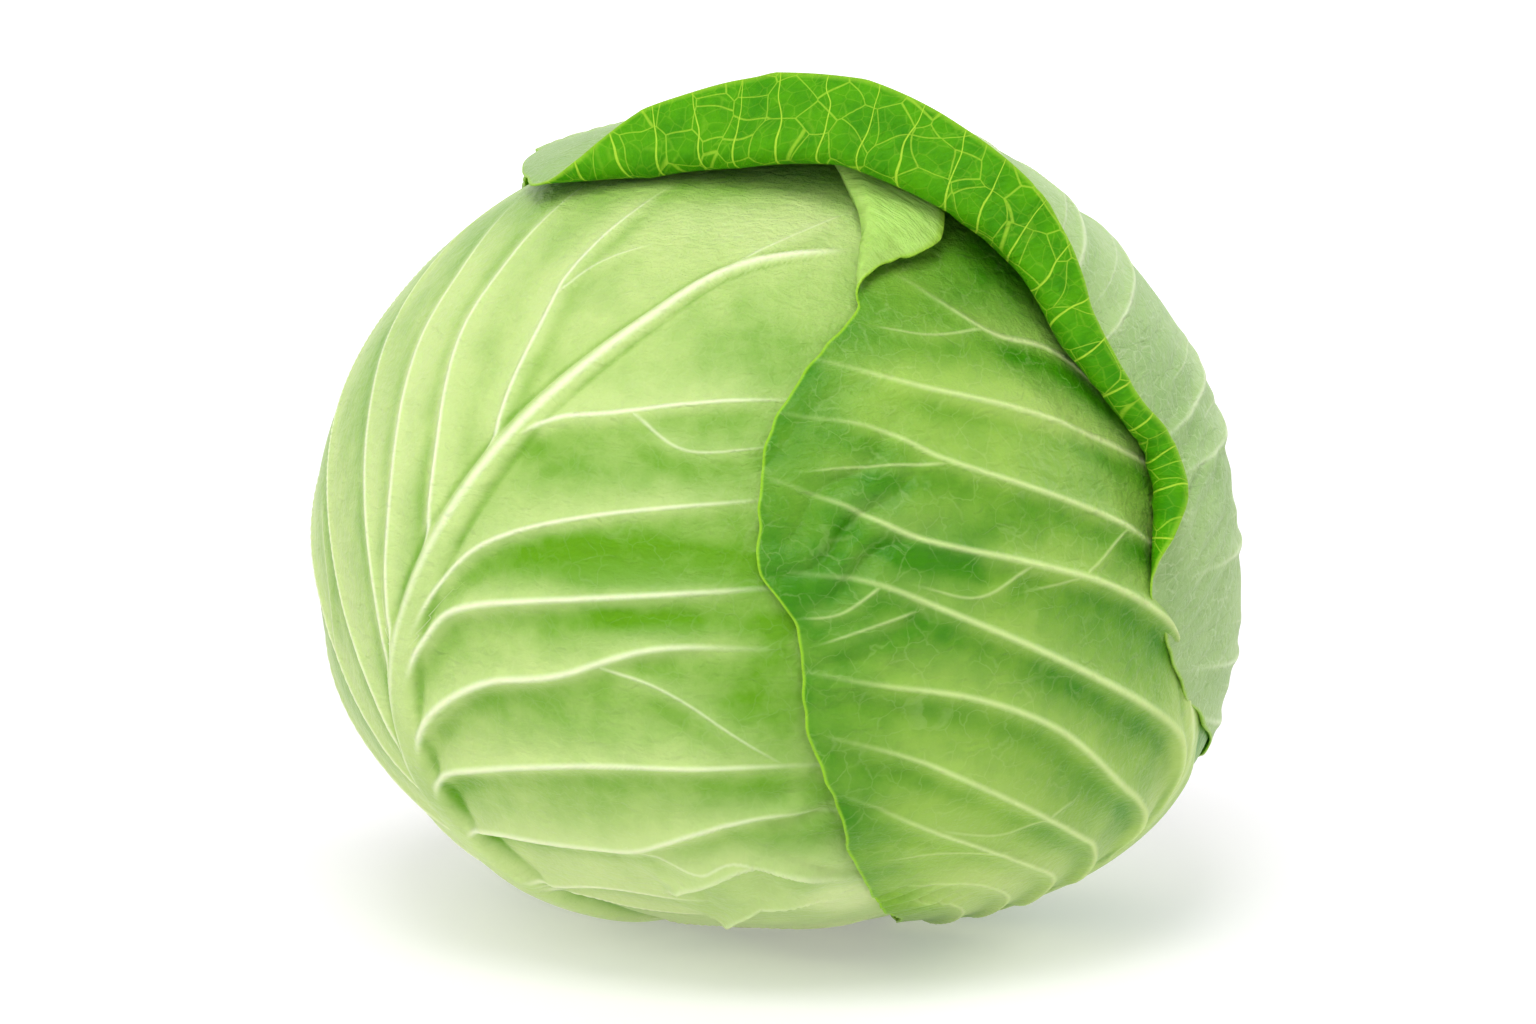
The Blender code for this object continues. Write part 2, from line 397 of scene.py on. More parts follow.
def srgb(code: str) -> tuple[float, float, float, float]:
    """Turn an sRGB hex colour into linear red, green, blue and alpha.

    Args:
        code: six hex digits after a hash sign.

    Returns:
        The linear colour, fully opaque.
    """
    parts = np.array([int(code[i:i + 2], 16) for i in (1, 3, 5)]) / 255.0
    linear = np.where(parts <= 0.04045, parts / 12.92, ((parts + 0.055) / 1.055) ** 2.4)
    return (*(float(v) for v in linear), 1.0)


@dataclass(frozen=True)
class LeafFinish:
    """Fresh cabbage leaf: a waxy skin over moist green tissue, with pale woody veins."""

    name: str
    light: str
    deep: str
    vein: str
    base: str
    # edge is the bright green of the painted glow along the free edge.
    edge: str
    inner: str
    inner_vein: str
    network: float
    roughness: float = 0.42
    sheen: float = 0.04
    inner_deep: str = "#9cc25c"
    vein_share: float = 0.9
    inner_net: float = 0.0
    specular: float = 0.2


@dataclass
class Shader:
    """A material's node tree, with one way of adding a node."""

    name: str
    material: bpy.types.Material = field(init=False)

    def __post_init__(self) -> None:
        """Start an empty Principled material."""
        self.material = bpy.data.materials.new(self.name)
        self.material.use_nodes = True

    @property
    def principled(self) -> bpy.types.Node:
        """The material's Principled shader."""
        return self.material.node_tree.nodes["Principled BSDF"]

    def add(self, kind: str, settings: Optional[dict[str, object]] = None,
            **inputs: Value) -> bpy.types.Node:
        """Add a node.

        Args:
            kind: the node's type, without the ShaderNode in front.
            settings: its own properties.
            **inputs: socket values or links; a name such as i2 means input number 2.

        Returns:
            The node.
        """
        tree = self.material.node_tree
        node = tree.nodes.new("ShaderNode" + kind)
        for key, value in (settings or {}).items():
            setattr(node, key, value)
        for key, value in inputs.items():
            socket = node.inputs[int(key[1:])] if key[1:].isdigit() else node.inputs[key.replace("_", " ")]
            if isinstance(value, Socket):
                tree.links.new(value, socket)
            else:
                socket.default_value = value
        return node

    def link(self, source: Socket, socket: str) -> None:
        """Link a source to one of the Principled shader's sockets."""
        self.material.node_tree.links.new(source, self.principled.inputs[socket])

    def attribute(self, name: str) -> Socket:
        """Read a number stored on the mesh."""
        return self.add("Attribute", {"attribute_name": name}).outputs["Fac"]

    def vector(self, name: str) -> Socket:
        """Read a vector stored on the mesh."""
        return self.add("Attribute", {"attribute_name": name}).outputs["Vector"]

    def maths(self, operation: str, a: Value, b: Value = 0.0, clamp: bool = False) -> Socket:
        """Combine two numbers."""
        return self.add("Math", {"operation": operation, "use_clamp": clamp}, i0=a, i1=b).outputs[0]

    def blend(self, share: Value, a: Value, b: Value) -> Socket:
        """Mix two colours, a where share is 0 and b where it is 1."""
        return self.add("Mix", {"data_type": "RGBA"}, i0=share, i6=a, i7=b).outputs[2]

    def ramp(self, value: Value, low: float, high: float, start: float = 0.0,
             end: float = 1.0) -> Socket:
        """Map a number from one range to another, smoothly and clamped."""
        return self.add("MapRange", {"interpolation_type": "SMOOTHSTEP"}, i0=value, i1=low, i2=high,
                        i3=start, i4=end).outputs[0]


def rim_net(s: Shader, rim: Socket, thick: Socket, strength: float) -> Socket:
    """Draw the veins of a rolled rim: main veins 8 mm apart that run from the fold to the free edge,
    and between them a thinner net of cells of about 7 mm and 3 mm.

    Args:
        s: the material's shader.
        rim: distance along the rim and distance past the fold, in millimetres.
        thick: the main veins' half-width in millimetres.
        strength: how plainly they show, 0 to 1.

    Returns:
        The share of vein colour.
    """
    spacing = 8.0
    warp = s.add("TexNoise", Vector=rim, Scale=0.08, Detail=1.0).outputs[1]
    bent = s.add("VectorMath", {"operation": "MULTIPLY_ADD"}, i0=warp, i1=(6.0, 5.0, 0.0),
                 i2=rim).outputs[0]
    part = s.add("SeparateXYZ", i0=bent).outputs
    slanted = s.maths("ADD", part[0], s.maths("MULTIPLY", part[1], -0.15))
    turns = s.maths("FRACT", s.maths("MULTIPLY", slanted, 1.0 / spacing))
    off = s.maths("MULTIPLY", s.maths("ABSOLUTE", s.maths("SUBTRACT", turns, 0.5)), spacing)
    main = s.ramp(s.maths("DIVIDE", off, thick), 0.4, 1.1, 0.95, 0.0)
    cells = s.add("TexVoronoi", {"feature": "DISTANCE_TO_EDGE"}, Vector=bent, Scale=0.15,
                  Randomness=0.75)
    coarse = s.ramp(cells.outputs["Distance"], 0.006, 0.026, 0.55, 0.0)
    hairs = s.add("TexVoronoi", {"feature": "DISTANCE_TO_EDGE"}, Vector=bent, Scale=0.36)
    hair = s.ramp(hairs.outputs["Distance"], 0.0, 0.06, 0.14, 0.0)
    lines = s.maths("MAXIMUM", main, s.maths("MAXIMUM", coarse, hair))
    return s.maths("MULTIPLY", lines, strength)


def leaf_material(finish: LeafFinish) -> bpy.types.Material:
    """Make a leaf's material from the numbers that its mesh carries.

    Args:
        finish: the leaf's colours and gloss.

    Returns:
        The material.
    """
    s = Shader(finish.name)
    place = s.add("TexCoord").outputs["Object"]
    flat, rim = s.vector("flat"), s.vector("rim")
    # Cloudy differences of green, in patches of about 25 mm, 6 mm and 2 mm.
    cloud = s.add("TexNoise", Vector=place, Scale=38.0, Detail=3.0, Roughness=0.6).outputs[0]
    mottle = s.add("TexNoise", Vector=place, Scale=160.0, Detail=5.0, Roughness=0.62).outputs[0]
    deep = s.maths("ADD", s.attribute("deep"), s.ramp(cloud, 0.35, 0.66, -0.2, 0.2))
    deep = s.maths("ADD", deep, s.ramp(mottle, 0.3, 0.7, -0.12, 0.12), clamp=True)
    blade = s.blend(deep, srgb(finish.light), srgb(finish.deep))
    blade = s.blend(s.attribute("pale"), blade, srgb(finish.base))
    # The finest veins part the blade into cells of about 4 mm, bent so that no side is straight.
    wander = s.add("TexNoise", Vector=flat, Scale=0.16, Detail=3.0).outputs[1]
    bent_flat = s.add("VectorMath", {"operation": "MULTIPLY_ADD"}, i0=wander, i1=(7.0, 7.0, 0.0),
                      i2=flat)
    cells = s.add("TexVoronoi", {"feature": "DISTANCE_TO_EDGE"}, Vector=bent_flat.outputs[0],
                  Scale=0.24).outputs["Distance"]
    fine = s.maths("MULTIPLY", s.ramp(cells, 0.0, 0.055, 1.0, 0.0), finish.network)
    fine = s.maths("MULTIPLY", fine, s.ramp(mottle, 0.35, 0.6))
    outer = s.blend(fine, blade, srgb(finish.vein))
    # Each layer of veins is a crisp pale line along its middle.
    crest = 0.0
    shows = s.add("SeparateXYZ", i0=s.vector("plain")).outputs
    for off, show in zip(s.add("SeparateXYZ", i0=s.vector("side")).outputs, shows):
        line = s.ramp(s.maths("ABSOLUTE", off), 0.0, 1.3, 1.0, 0.0)
        line = s.maths("MULTIPLY", line, s.maths("MULTIPLY", show, 1.3, clamp=True))
        crest = s.maths("MAXIMUM", line, crest)
    outer = s.blend(s.maths("MULTIPLY", crest, finish.vein_share), outer, srgb(finish.vein))
    net_share = rim_net(s, rim, s.attribute("net"), finish.inner_net)
    dark = s.blend(s.ramp(mottle, 0.32, 0.7), srgb(finish.inner), srgb(finish.inner_deep))
    inner = s.blend(net_share, dark, srgb(finish.inner_vein))
    colour = s.blend(s.attribute("inner"), outer, inner)
    # Painted glow of light through the thin margin, along the free edge.
    colour = s.blend(s.attribute("edge"), colour, srgb(finish.edge))
    s.link(colour, "Base Color")
    # Waxy skin: soft broad highlights, broken by crinkles about 2 mm apart and by short creases that
    # run along the veins.
    crinkle = s.add("TexNoise", Vector=flat, Scale=0.5, Detail=4.0, Roughness=0.55).outputs[0]
    stretched = s.add("VectorMath", {"operation": "MULTIPLY"}, i0=bent_flat.outputs[0],
                      i1=(0.1, 0.55, 1.0))
    crease = s.add("TexNoise", Vector=stretched.outputs[0], Scale=1.0, Detail=3.0,
                   Roughness=0.5).outputs[0]
    bump = s.add("Bump", Strength=0.5, Distance=0.0012, Height=crinkle)
    bump = s.add("Bump", Strength=0.5, Distance=0.0011, Height=crease, Normal=bump.outputs[0])
    bump = s.add("Bump", Strength=0.5, Distance=0.0006, Height=crest, Normal=bump.outputs[0])
    bump = s.add("Bump", {"invert": True}, Strength=0.4, Distance=0.0005, Height=net_share,
                 Normal=bump.outputs[0])
    s.link(bump.outputs[0], "Normal")
    shader = s.principled.inputs
    shader["Roughness"].default_value = finish.roughness
    shader["IOR"].default_value = 1.42
    shader["Specular IOR Level"].default_value = finish.specular
    outside = s.maths("SUBTRACT", 1.0, s.attribute("inner"))
    s.link(s.maths("MULTIPLY", outside, finish.sheen), "Sheen Weight")
    shader["Sheen Roughness"].default_value = 0.45
    shader["Subsurface Weight"].default_value = 0.25
    shader["Subsurface Radius"].default_value = (0.6, 1.0, 0.25)
    shader["Subsurface Scale"].default_value = 0.003
    return s.material


def grid_mesh(name: str, outer: Array, inner: Array, numbers: dict[str, Array]) -> bpy.types.Object:
    """Close two square grids of points into a thin shell.

    The outer grid may be finer: each edge of the inner grid's border then meets several outer ones,
    and one many-sided face closes each gap.

    Args:
        name: the object's name.
        outer: outer face, in metres, as a square grid of points that faces outwards.
        inner: inner face, with the same corners and every so many of the same grid lines.
        numbers: for each name, values for every outer point and then every inner point.

    Returns:
        The object, at the origin.
    """
    n, m = outer.shape[0], inner.shape[0]
    stride = (n - 1) // (m - 1)
    o = np.arange(n * n).reshape(n, n)
    i = n * n + np.arange(m * m).reshape(m, m)
    front = np.stack([o[:-1, :-1], o[1:, :-1], o[1:, 1:], o[:-1, 1:]], -1).reshape(-1, 4)
    back = np.stack([i[:-1, :-1], i[:-1, 1:], i[1:, 1:], i[1:, :-1]], -1).reshape(-1, 4)

    def border(g: Array) -> Array:
        """Walk round a grid's border, anticlockwise seen from outside."""
        return np.concatenate([g[:-1, 0], g[-1, :-1], g[:0:-1, -1], g[0, :0:-1]])

    ob, ib = border(o), border(i)
    start = np.arange(len(ib)) * stride
    steps = np.arange(stride, -1, -1)
    rim = np.concatenate([ob[(start[:, None] + steps) % len(ob)], ib[:, None],
                          np.roll(ib, -1)[:, None]], axis=1)
    sizes = np.concatenate([np.full(len(front) + len(back), 4), np.full(len(rim), stride + 3)])
    corners = np.concatenate([front.ravel(), back.ravel(), rim.ravel()]).astype(np.int32)
    points = np.concatenate([outer.reshape(-1, 3), inner.reshape(-1, 3)])
    return polygon_mesh(name, points, corners, sizes, numbers)


def polygon_mesh(name: str, points: Array, corners: Array, sizes: Array,
                 numbers: dict[str, Array]) -> bpy.types.Object:
    """Put whole arrays into a smooth mesh.

    Args:
        name: the object's name.
        points: positions in metres.
        corners: every face's corners, one face after another.
        sizes: how many corners each face has.
        numbers: for each name, one value or one vector for every point.

    Returns:
        The object, at the origin.
    """
    mesh = bpy.data.meshes.new(name)
    mesh.vertices.add(len(points))
    mesh.vertices.foreach_set("co", points.astype(np.float32).ravel())
    mesh.loops.add(len(corners))
    mesh.loops.foreach_set("vertex_index", corners)
    mesh.polygons.add(len(sizes))
    mesh.polygons.foreach_set("loop_start", (np.cumsum(sizes) - sizes).astype(np.int32))
    mesh.polygons.foreach_set("use_smooth", np.ones(len(sizes), dtype=bool))
    mesh.update(calc_edges=True)
    mesh.validate()
    for key, values in numbers.items():
        if values.ndim == 2:
            mesh.attributes.new(key, "FLOAT_VECTOR", "POINT").data.foreach_set(
                "vector", values.astype(np.float32).ravel())
        else:
            mesh.attributes.new(key, "FLOAT", "POINT").data.foreach_set(
                "value", values.astype(np.float32))
    obj = bpy.data.objects.new(name, mesh)
    bpy.context.scene.collection.objects.link(obj)
    return obj


def closed_rings(rings: Array, ends: Array) -> tuple[Array, Array, Array]:
    """Join rings of points, from the lowest up, and close them with a point at each end.

    Args:
        rings: rows by columns of positions, each row anticlockwise seen from above.
        ends: the lowest and the highest point.

    Returns:
        All the points, every face's corners and how many corners each face has.
    """
    rows, columns = rings.shape[:2]
    points = np.concatenate([rings.reshape(-1, 3), ends])
    index = np.arange(rows * columns).reshape(rows, columns)
    after = np.roll(index, -1, axis=1)
    quads = np.stack([index[:-1], after[:-1], after[1:], index[1:]], -1)
    low = np.stack([np.full(columns, len(points) - 2), after[0], index[0]], -1)
    high = np.stack([np.full(columns, len(points) - 1), index[-1], after[-1]], -1)
    corners = np.concatenate([quads.ravel(), low.ravel(), high.ravel()]).astype(np.int32)
    sizes = np.concatenate([np.full(quads.size // 4, 4), np.full(2 * columns, 3)])
    return points, corners, sizes


def along_path(x: Array, y: Array, path: Array) -> tuple[Array, Array]:
    """Measure points against a path of straight pieces.

    Args:
        x: the points' x.
        y: the points' y.
        path: the path's points in order.

    Returns:
        Distance from the path, positive on its left, and the share of its length at the nearest point.
    """
    nearest = np.full(x.shape, np.inf)
    signed, share = np.zeros(x.shape), np.zeros(x.shape)
    pieces = np.diff(path, axis=0)
    lengths = np.hypot(*pieces.T)
    before = np.concatenate([[0.0], np.cumsum(lengths)])
    for (ax, ay), (dx, dy), length, done in zip(path[:-1], pieces, lengths, before):
        t = np.clip(((x - ax) * dx + (y - ay) * dy) / length ** 2, 0.0, 1.0)
        gap = np.hypot(x - ax - t * dx, y - ay - t * dy)
        closer = gap < nearest
        nearest = np.where(closer, gap, nearest)
        side = np.where(dx * (y - ay) - dy * (x - ax) >= 0.0, 1.0, -1.0)
        signed = np.where(closer, gap * side, signed)
        share = np.where(closer, (done + t * length) / before[-1], share)
    return signed, share


@dataclass(frozen=True)
class Cover:
    """Part of a leaf that lies flat under another: past a line at this heading, above a height."""

    start: float
    end: float
    heading: float = 0.0
    above: float = -400.0

    def share(self, x: Array, y: Array) -> Array:
        """1 where the leaf is covered, easing to 0 outside."""
        turn = np.radians(self.heading)
        past = x * np.cos(turn) + y * np.sin(turn)
        return ease(self.start, self.end, past) * ease(self.above - 12.0, self.above, y)


@dataclass
class Leaf:
    """One leaf, drawn flat round its middle and laid on the head.

    azimuth 0 is the front and 90 the right-hand side; bearings run clockwise from the leaf's top.
    rings is how fine the outer grid is, and the inner one keeps every stride-th line of it. core is
    how far out the grid is even. frill is the height of the small waves along the edge, halo how
    far the blade pales beside a vein, partly with painted light where the blade swells up to it,
    grain the least half-width of a vein's relief, swell how uneven the blade is, deep and margin
    how green it is all over and at its edge, and pale_from between which heights it pales towards
    its base. painted_edge_glow is how strongly the free edge takes the bright green of a painted glow from
    light through its thin margin. Its patches of other green are partly its own tints and partly
    painted shade and painted highlights.
    """

    name: str
    azimuth: float
    elevation: float
    level: float
    outline: Path
    finish: LeafFinish
    rings: int = 148
    stride: int = 4
    core: float = 95.0
    thickness: float = 0.8
    midrib: Optional[Midrib] = None
    veins: Sequence[Vein] = ()
    puckers: Sequence[Pucker] = ()
    patches: Sequence[Patch] = ()
    curl: Optional[Curl] = None
    lift: Optional[Lift] = None
    covers: Sequence[Cover] = ()
    frill: float = 0.0
    pale_band_and_painted_light: float = 0.5
    grain: float = 2.0
    swell: float = 0.7
    seed: int = 3
    deep: float = 0.5
    margin: float = 0.0
    pale_from: tuple[float, float] = (-55.0, -115.0)
    edge_width: float = 1.1
    painted_edge_glow: float = 0.8

    def directions(self, x: Array, y: Array) -> Array:
        """Lay flat points on a ball: turn from the leaf's middle by their distance over 90 mm.

        Args:
            x: millimetres to the right of the leaf's middle.
            y: millimetres towards its top.

        Returns:
            Unit directions from the head's centre.
        """
        a, e = np.radians(self.azimuth), np.radians(self.elevation)
        right = np.array([np.cos(a), np.sin(a), 0.0])
        middle = np.array([np.sin(a) * np.cos(e), -np.cos(a) * np.cos(e), np.sin(e)])
        top = np.cross(middle, right)
        distance = np.maximum(np.hypot(x, y), 1e-9)
        angle = distance / 90.0
        across = (x / distance)[..., None] * right + (y / distance)[..., None] * top
        return np.cos(angle)[..., None] * middle + np.sin(angle)[..., None] * across

    def bearings(self) -> tuple[Array, Array]:
        """Round a square grid into rings: a ring's place in its own side gives its bearing.

        Returns:
            Ring numbers and bearings in degrees, as square arrays.
        """
        k = np.arange(-self.rings, self.rings + 1).astype(float)
        i, j = np.meshgrid(k, k, indexing="ij")
        with np.errstate(divide="ignore", invalid="ignore"):
            upright = np.where(j > 0, 0.0, 180.0) + 45.0 * i / j
            sideways = np.where(i > 0, 90.0, 270.0) - 45.0 * j / i
        bearing = np.where(np.abs(j) >= np.abs(i), upright, sideways)
        bearing[self.rings, self.rings] = 0.0
        return np.maximum(np.abs(i), np.abs(j)), bearing

    def edge_distance(self, bearing: Array) -> Array:
        """Measure how far out the outline, or the fold, is, with small waves where the edge is free.

        Args:
            bearing: bearings in degrees.

        Returns:
            Distances from the leaf's middle in millimetres.
        """
        turn = np.radians(bearing)
        wave = np.sin(47 * turn) + 0.7 * np.sin(71 * turn + 1.0) + 0.8 * np.sin(29 * turn + 2.0)
        free = 1.0 - ease(0.0, 4.0, straight_curve(self.curl.width, bearing)) if self.curl else 1.0
        return closed_curve(self.outline, bearing) + self.frill * wave * free

    def edge_point(self, head: HeadShape, bearing: Array) -> Array:
        """Place points of the outline, or of the fold of a curled leaf.

        Args:
            head: the head it lies on.
            bearing: their bearings.

        Returns:
            Positions in millimetres.
        """
        distance = self.edge_distance(bearing)
        turn = np.radians(bearing)
        direction = self.directions(distance * np.sin(turn), distance * np.cos(turn))
        return head.point(direction, self.level + self.stand_off(bearing, np.zeros_like(distance)))

    def along_fold(self, head: HeadShape, bearing: Array) -> Array:
        """Measure along the outline from bearing 200, clockwise, to each bearing.

        Args:
            head: the head it lies on.
            bearing: where it is measured to.

        Returns:
            Lengths in millimetres.
        """
        steps = np.arange(200.0, 560.5, 0.5)
        points = self.edge_point(head, steps)
        length = np.concatenate([[0.0], np.cumsum(np.linalg.norm(np.diff(points, axis=0), axis=-1))])
        return np.interp((bearing - 200.0) % 360.0 + 200.0, steps, length)

    def stand_off(self, bearing: Array, inside: Array) -> Array:
        """Work out how far the leaf stands off its level.

        Args:
            bearing: bearings of the points.
            inside: how far they are inside the outline.

        Returns:
            Millimetres outwards.
        """
        if not self.lift:
            return np.zeros_like(inside)
        at_rim = 1.0 - ease(self.lift.near, self.lift.far, inside)
        return straight_curve(self.lift.amount, bearing) * at_rim

    def rolled(self, head: HeadShape, bearing: Array, past: Array) -> Array:
        """Roll the rim outwards: an arc from the fold, then straight on at the arc's last angle.

        Args:
            head: the head it lies on.
            bearing: bearings of the points.
            past: distances past the fold along the leaf, in millimetres.

        Returns:
            Positions in millimetres.
        """
        turn = np.radians(straight_curve(self.curl.turn, bearing))
        fold = self.edge_point(head, bearing)
        outward = fold - head.centre
        outward /= np.linalg.norm(outward, axis=-1, keepdims=True)
        along = self.edge_point(head, bearing + 1.5) - self.edge_point(head, bearing - 1.5)
        forward = np.cross(outward, along)
        forward /= np.linalg.norm(forward, axis=-1, keepdims=True)
        radius = self.curl.radius
        arc = np.minimum(past / radius, turn)
        rest = np.maximum(past - radius * turn, 0.0)
        ahead = radius * np.sin(arc) + rest * np.cos(turn)
        out = radius * (1.0 - np.cos(arc)) + rest * np.sin(turn)
        return fold + forward * ahead[..., None] + outward * out[..., None]

    def relief(self, x: Array, y: Array) -> Relief:
        """Raise the midrib and veins.

        Args:
            x: flat x of the points.
            y: flat y of the points.

        Returns:
            The veins' heights and what the material needs to draw them.
        """
        relief = Relief(x, y, self.grain)
        for vein in self.veins:
            vein.press(relief)
        relief.settle()
        if self.midrib:
            self.midrib.press(relief)
        return relief

    def creases(self, x: Array, y: Array) -> Array:
        """Raise the puckers: sharp-valleyed waves across their heading, fading out from their middle.

        Args:
            x: flat x of the points.
            y: flat y of the points.

        Returns:
            Heights in millimetres.
        """
        total = np.zeros(x.shape)
        for pucker in self.puckers:
            turn = np.radians(pucker.heading)
            dx, dy = x - pucker.middle[0], y - pucker.middle[1]
            along = dx * np.cos(turn) + dy * np.sin(turn)
            across = -dx * np.sin(turn) + dy * np.cos(turn)
            fade = np.exp(-(dx / pucker.size[0]) ** 2 - (dy / pucker.size[1]) ** 2)
            wander = 2.2 * waves(np.stack([along, across], -1) / 2.0, pucker.length * 1.3, pucker.seed)
            phase = 2.0 * np.pi * across / pucker.length + wander
            total += pucker.height * fade * (np.abs(np.sin(phase / 2.0)) * 2.0 - 1.0)
        return total

    def build(self, head: HeadShape) -> bpy.types.Object:
        """Work the leaf out on its grid, give it its relief and close it into a shell.

        Args:
            head: the head it lies on.

        Returns:
            The leaf.
        """
        ring, bearing = self.bearings()
        edge = self.edge_distance(bearing)
        width = straight_curve(self.curl.width, bearing) if self.curl else np.zeros_like(edge)
        distance = self.spread(ring, edge, width)
        past, to_edge = distance - edge, edge + width - distance
        turn = np.radians(bearing)
        base = self.lay(head, bearing, np.minimum(distance, edge), past)
        normal = np.cross(np.gradient(base, axis=0), np.gradient(base, axis=1))
        normal /= np.maximum(np.linalg.norm(normal, axis=-1, keepdims=True), 1e-12)
        relief = self.relief(distance * np.sin(turn), distance * np.cos(turn))
        rolled = ease(0.0, 3.0, past)
        height = self.heights(relief, base, rolled, to_edge)
        if self.curl and self.curl.ruffle:
            climb = np.clip(past / 20.0, 0.0, 1.2) ** 1.5
            along = np.stack([turn * edge, 0.3 * past], -1)
            height += self.curl.ruffle * climb * waves(along, 34.0, self.seed + 9)
        thickness = self.thickness * (0.55 + 0.45 * ease(0.0, 6.0, to_edge))
        outer = base + normal * height[..., None]
        # The inner face is smooth under the ribs, but follows the rolled rim.
        lining = np.where(rolled > 0.5, height, np.minimum(height, 0.0)) - thickness
        inner = base + normal * lining[..., None]
        rim = np.stack([self.along_fold(head, bearing), past, np.zeros_like(past)], -1)
        return self.close(outer, inner, self.numbers(relief, rim, to_edge))

    def spread(self, ring: Array, edge: Array, width: Array) -> Array:
        """Space the rings: evenly over the core, wider towards the fold, evenly again past it.

        Args:
            ring: ring numbers.
            edge: distance of the outline or fold.
            width: how far the rim goes on past the fold.

        Returns:
            Distances from the leaf's middle in millimetres.
        """
        inside = self.curl.inside if self.curl else 0.0
        body = self.rings - (self.curl.rings if self.curl else 0)
        share = np.minimum(ring / body, 1.0)
        reach = edge - inside
        core = np.minimum(self.core, reach)
        distance = share * core + (reach - core) * share ** 4
        if not self.curl:
            return distance
        return distance + np.clip((ring - body) / self.curl.rings, 0.0, 1.0) * (inside + width)

    def lay(self, head: HeadShape, bearing: Array, laid: Array, past: Array) -> Array:
        """Lay the smooth blade on the head, with its rim rolled.

        Args:
            head: the head it lies on.
            bearing: bearings of the points.
            laid: their distances, none past the outline or fold.
            past: how far they are past it, below 0 inside.

        Returns:
            Positions in millimetres.
        """
        turn = np.radians(bearing)
        direction = self.directions(laid * np.sin(turn), laid * np.cos(turn))
        base = head.point(direction, self.level + self.stand_off(bearing, np.maximum(-past, 0.0)))
        if self.curl:
            out = past > 0.0
            base[out] = self.rolled(head, bearing[out], past[out])
        return base

    def heights(self, relief: Relief, base: Array, rolled: Array, to_edge: Array) -> Array:
        """Add up the veins, the creases and the blade's unevenness.

        Args:
            relief: the veins.
            base: positions on the smooth blade.
            rolled: 1 past the fold, where the veins are flat, and 0 inside it.
            to_edge: distance from the free edge.

        Returns:
            Heights in millimetres.
        """
        x, y = relief.x, relief.y
        bare = np.prod([1.0 - cover.share(x, y) for cover in self.covers] + [np.ones_like(x)], axis=0)
        height = (relief.height * (1.0 - 0.85 * rolled) + self.creases(x, y)) * bare
        uneven = waves(base, 46.0, self.seed) * (0.3 + 0.7 * bare) * ease(-2.0, 14.0, to_edge)
        return height + self.swell * uneven

    def numbers(self, relief: Relief, rim: Array, to_edge: Array) -> dict[str, Array]:
        """Work out what the material reads, as (outer, inner) pairs of values over the grid.

        Args:
            relief: the veins.
            rim: distances along the outline and past it.
            to_edge: distance from the free edge.

        Returns:
            For each name, a stack of the outer and the inner values.
        """
        x, y, near = relief.x, relief.y, relief.near
        zero, one = np.zeros_like(x), np.ones_like(x)
        flat = np.stack([x, y, zero], -1)
        # Paler towards the base. Beside a vein it is paler and less deep, partly from the vein's own
        # paleness and partly from painted light on the blade's swell. It is deeper where painted shade
        # lies under the veins and along the midrib's flanks.
        pale = ease(self.pale_from[0], self.pale_from[1], y) * 0.6 + self.pale_band_and_painted_light * near
        deep = self.deep + self.margin * np.exp(-to_edge / 5.0) - 0.5 * near
        for patch in self.patches:
            turn = np.radians(patch.heading)
            dx, dy = x - patch.middle[0], y - patch.middle[1]
            along = dx * np.cos(turn) + dy * np.sin(turn)
            across = dy * np.cos(turn) - dx * np.sin(turn)
            share = np.exp(-(along / patch.size[0]) ** 2 - (across / patch.size[1]) ** 2)
            deep, pale = deep + patch.deep * share, pale + patch.pale * share
        deep, pale = np.clip(deep, 0.0, 1.0), np.clip(pale, 0.0, 1.0)
        # Painted glow: a bright yellow-green line along the free edge, as light shines through the thin
        # margin.
        bright = self.painted_edge_glow * (1.0 - ease(0.35 * self.edge_width, self.edge_width, to_edge))
        net = 0.11 + 0.17 * (1.0 - ease(0.0, 18.0, rim[..., 1]))
        both = {"flat": flat, "rim": rim, "side": relief.side, "deep": deep, "pale": pale,
                "edge": bright, "net": net}
        return {**{name: np.stack([values, values]) for name, values in both.items()},
                "plain": np.stack([relief.plain, 0.6 * relief.plain]), "inner": np.stack([zero, one])}

    def close(self, outer: Array, inner: Array, numbers: dict[str, Array]) -> bpy.types.Object:
        """Thin out the inner grid, close the shell, dress it and tie it to its CAD node.

        Args:
            outer: outer face in millimetres, on the grid.
            inner: inner face in millimetres, on the same grid.
            numbers: what the material reads, as numbers gives it.

        Returns:
            The leaf.
        """
        step = slice(None, None, self.stride)
        values = {key: np.concatenate([pair[0].reshape(-1, *pair.shape[3:]),
                                       pair[1][step, step].reshape(-1, *pair.shape[3:])])
                  for key, pair in numbers.items()}
        obj = grid_mesh(self.name + "_blade", outer * MM, inner[step, step] * MM, values)
        obj.data.materials.append(leaf_material(self.finish))
        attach(obj, "root")
        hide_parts(self.name)
        return obj


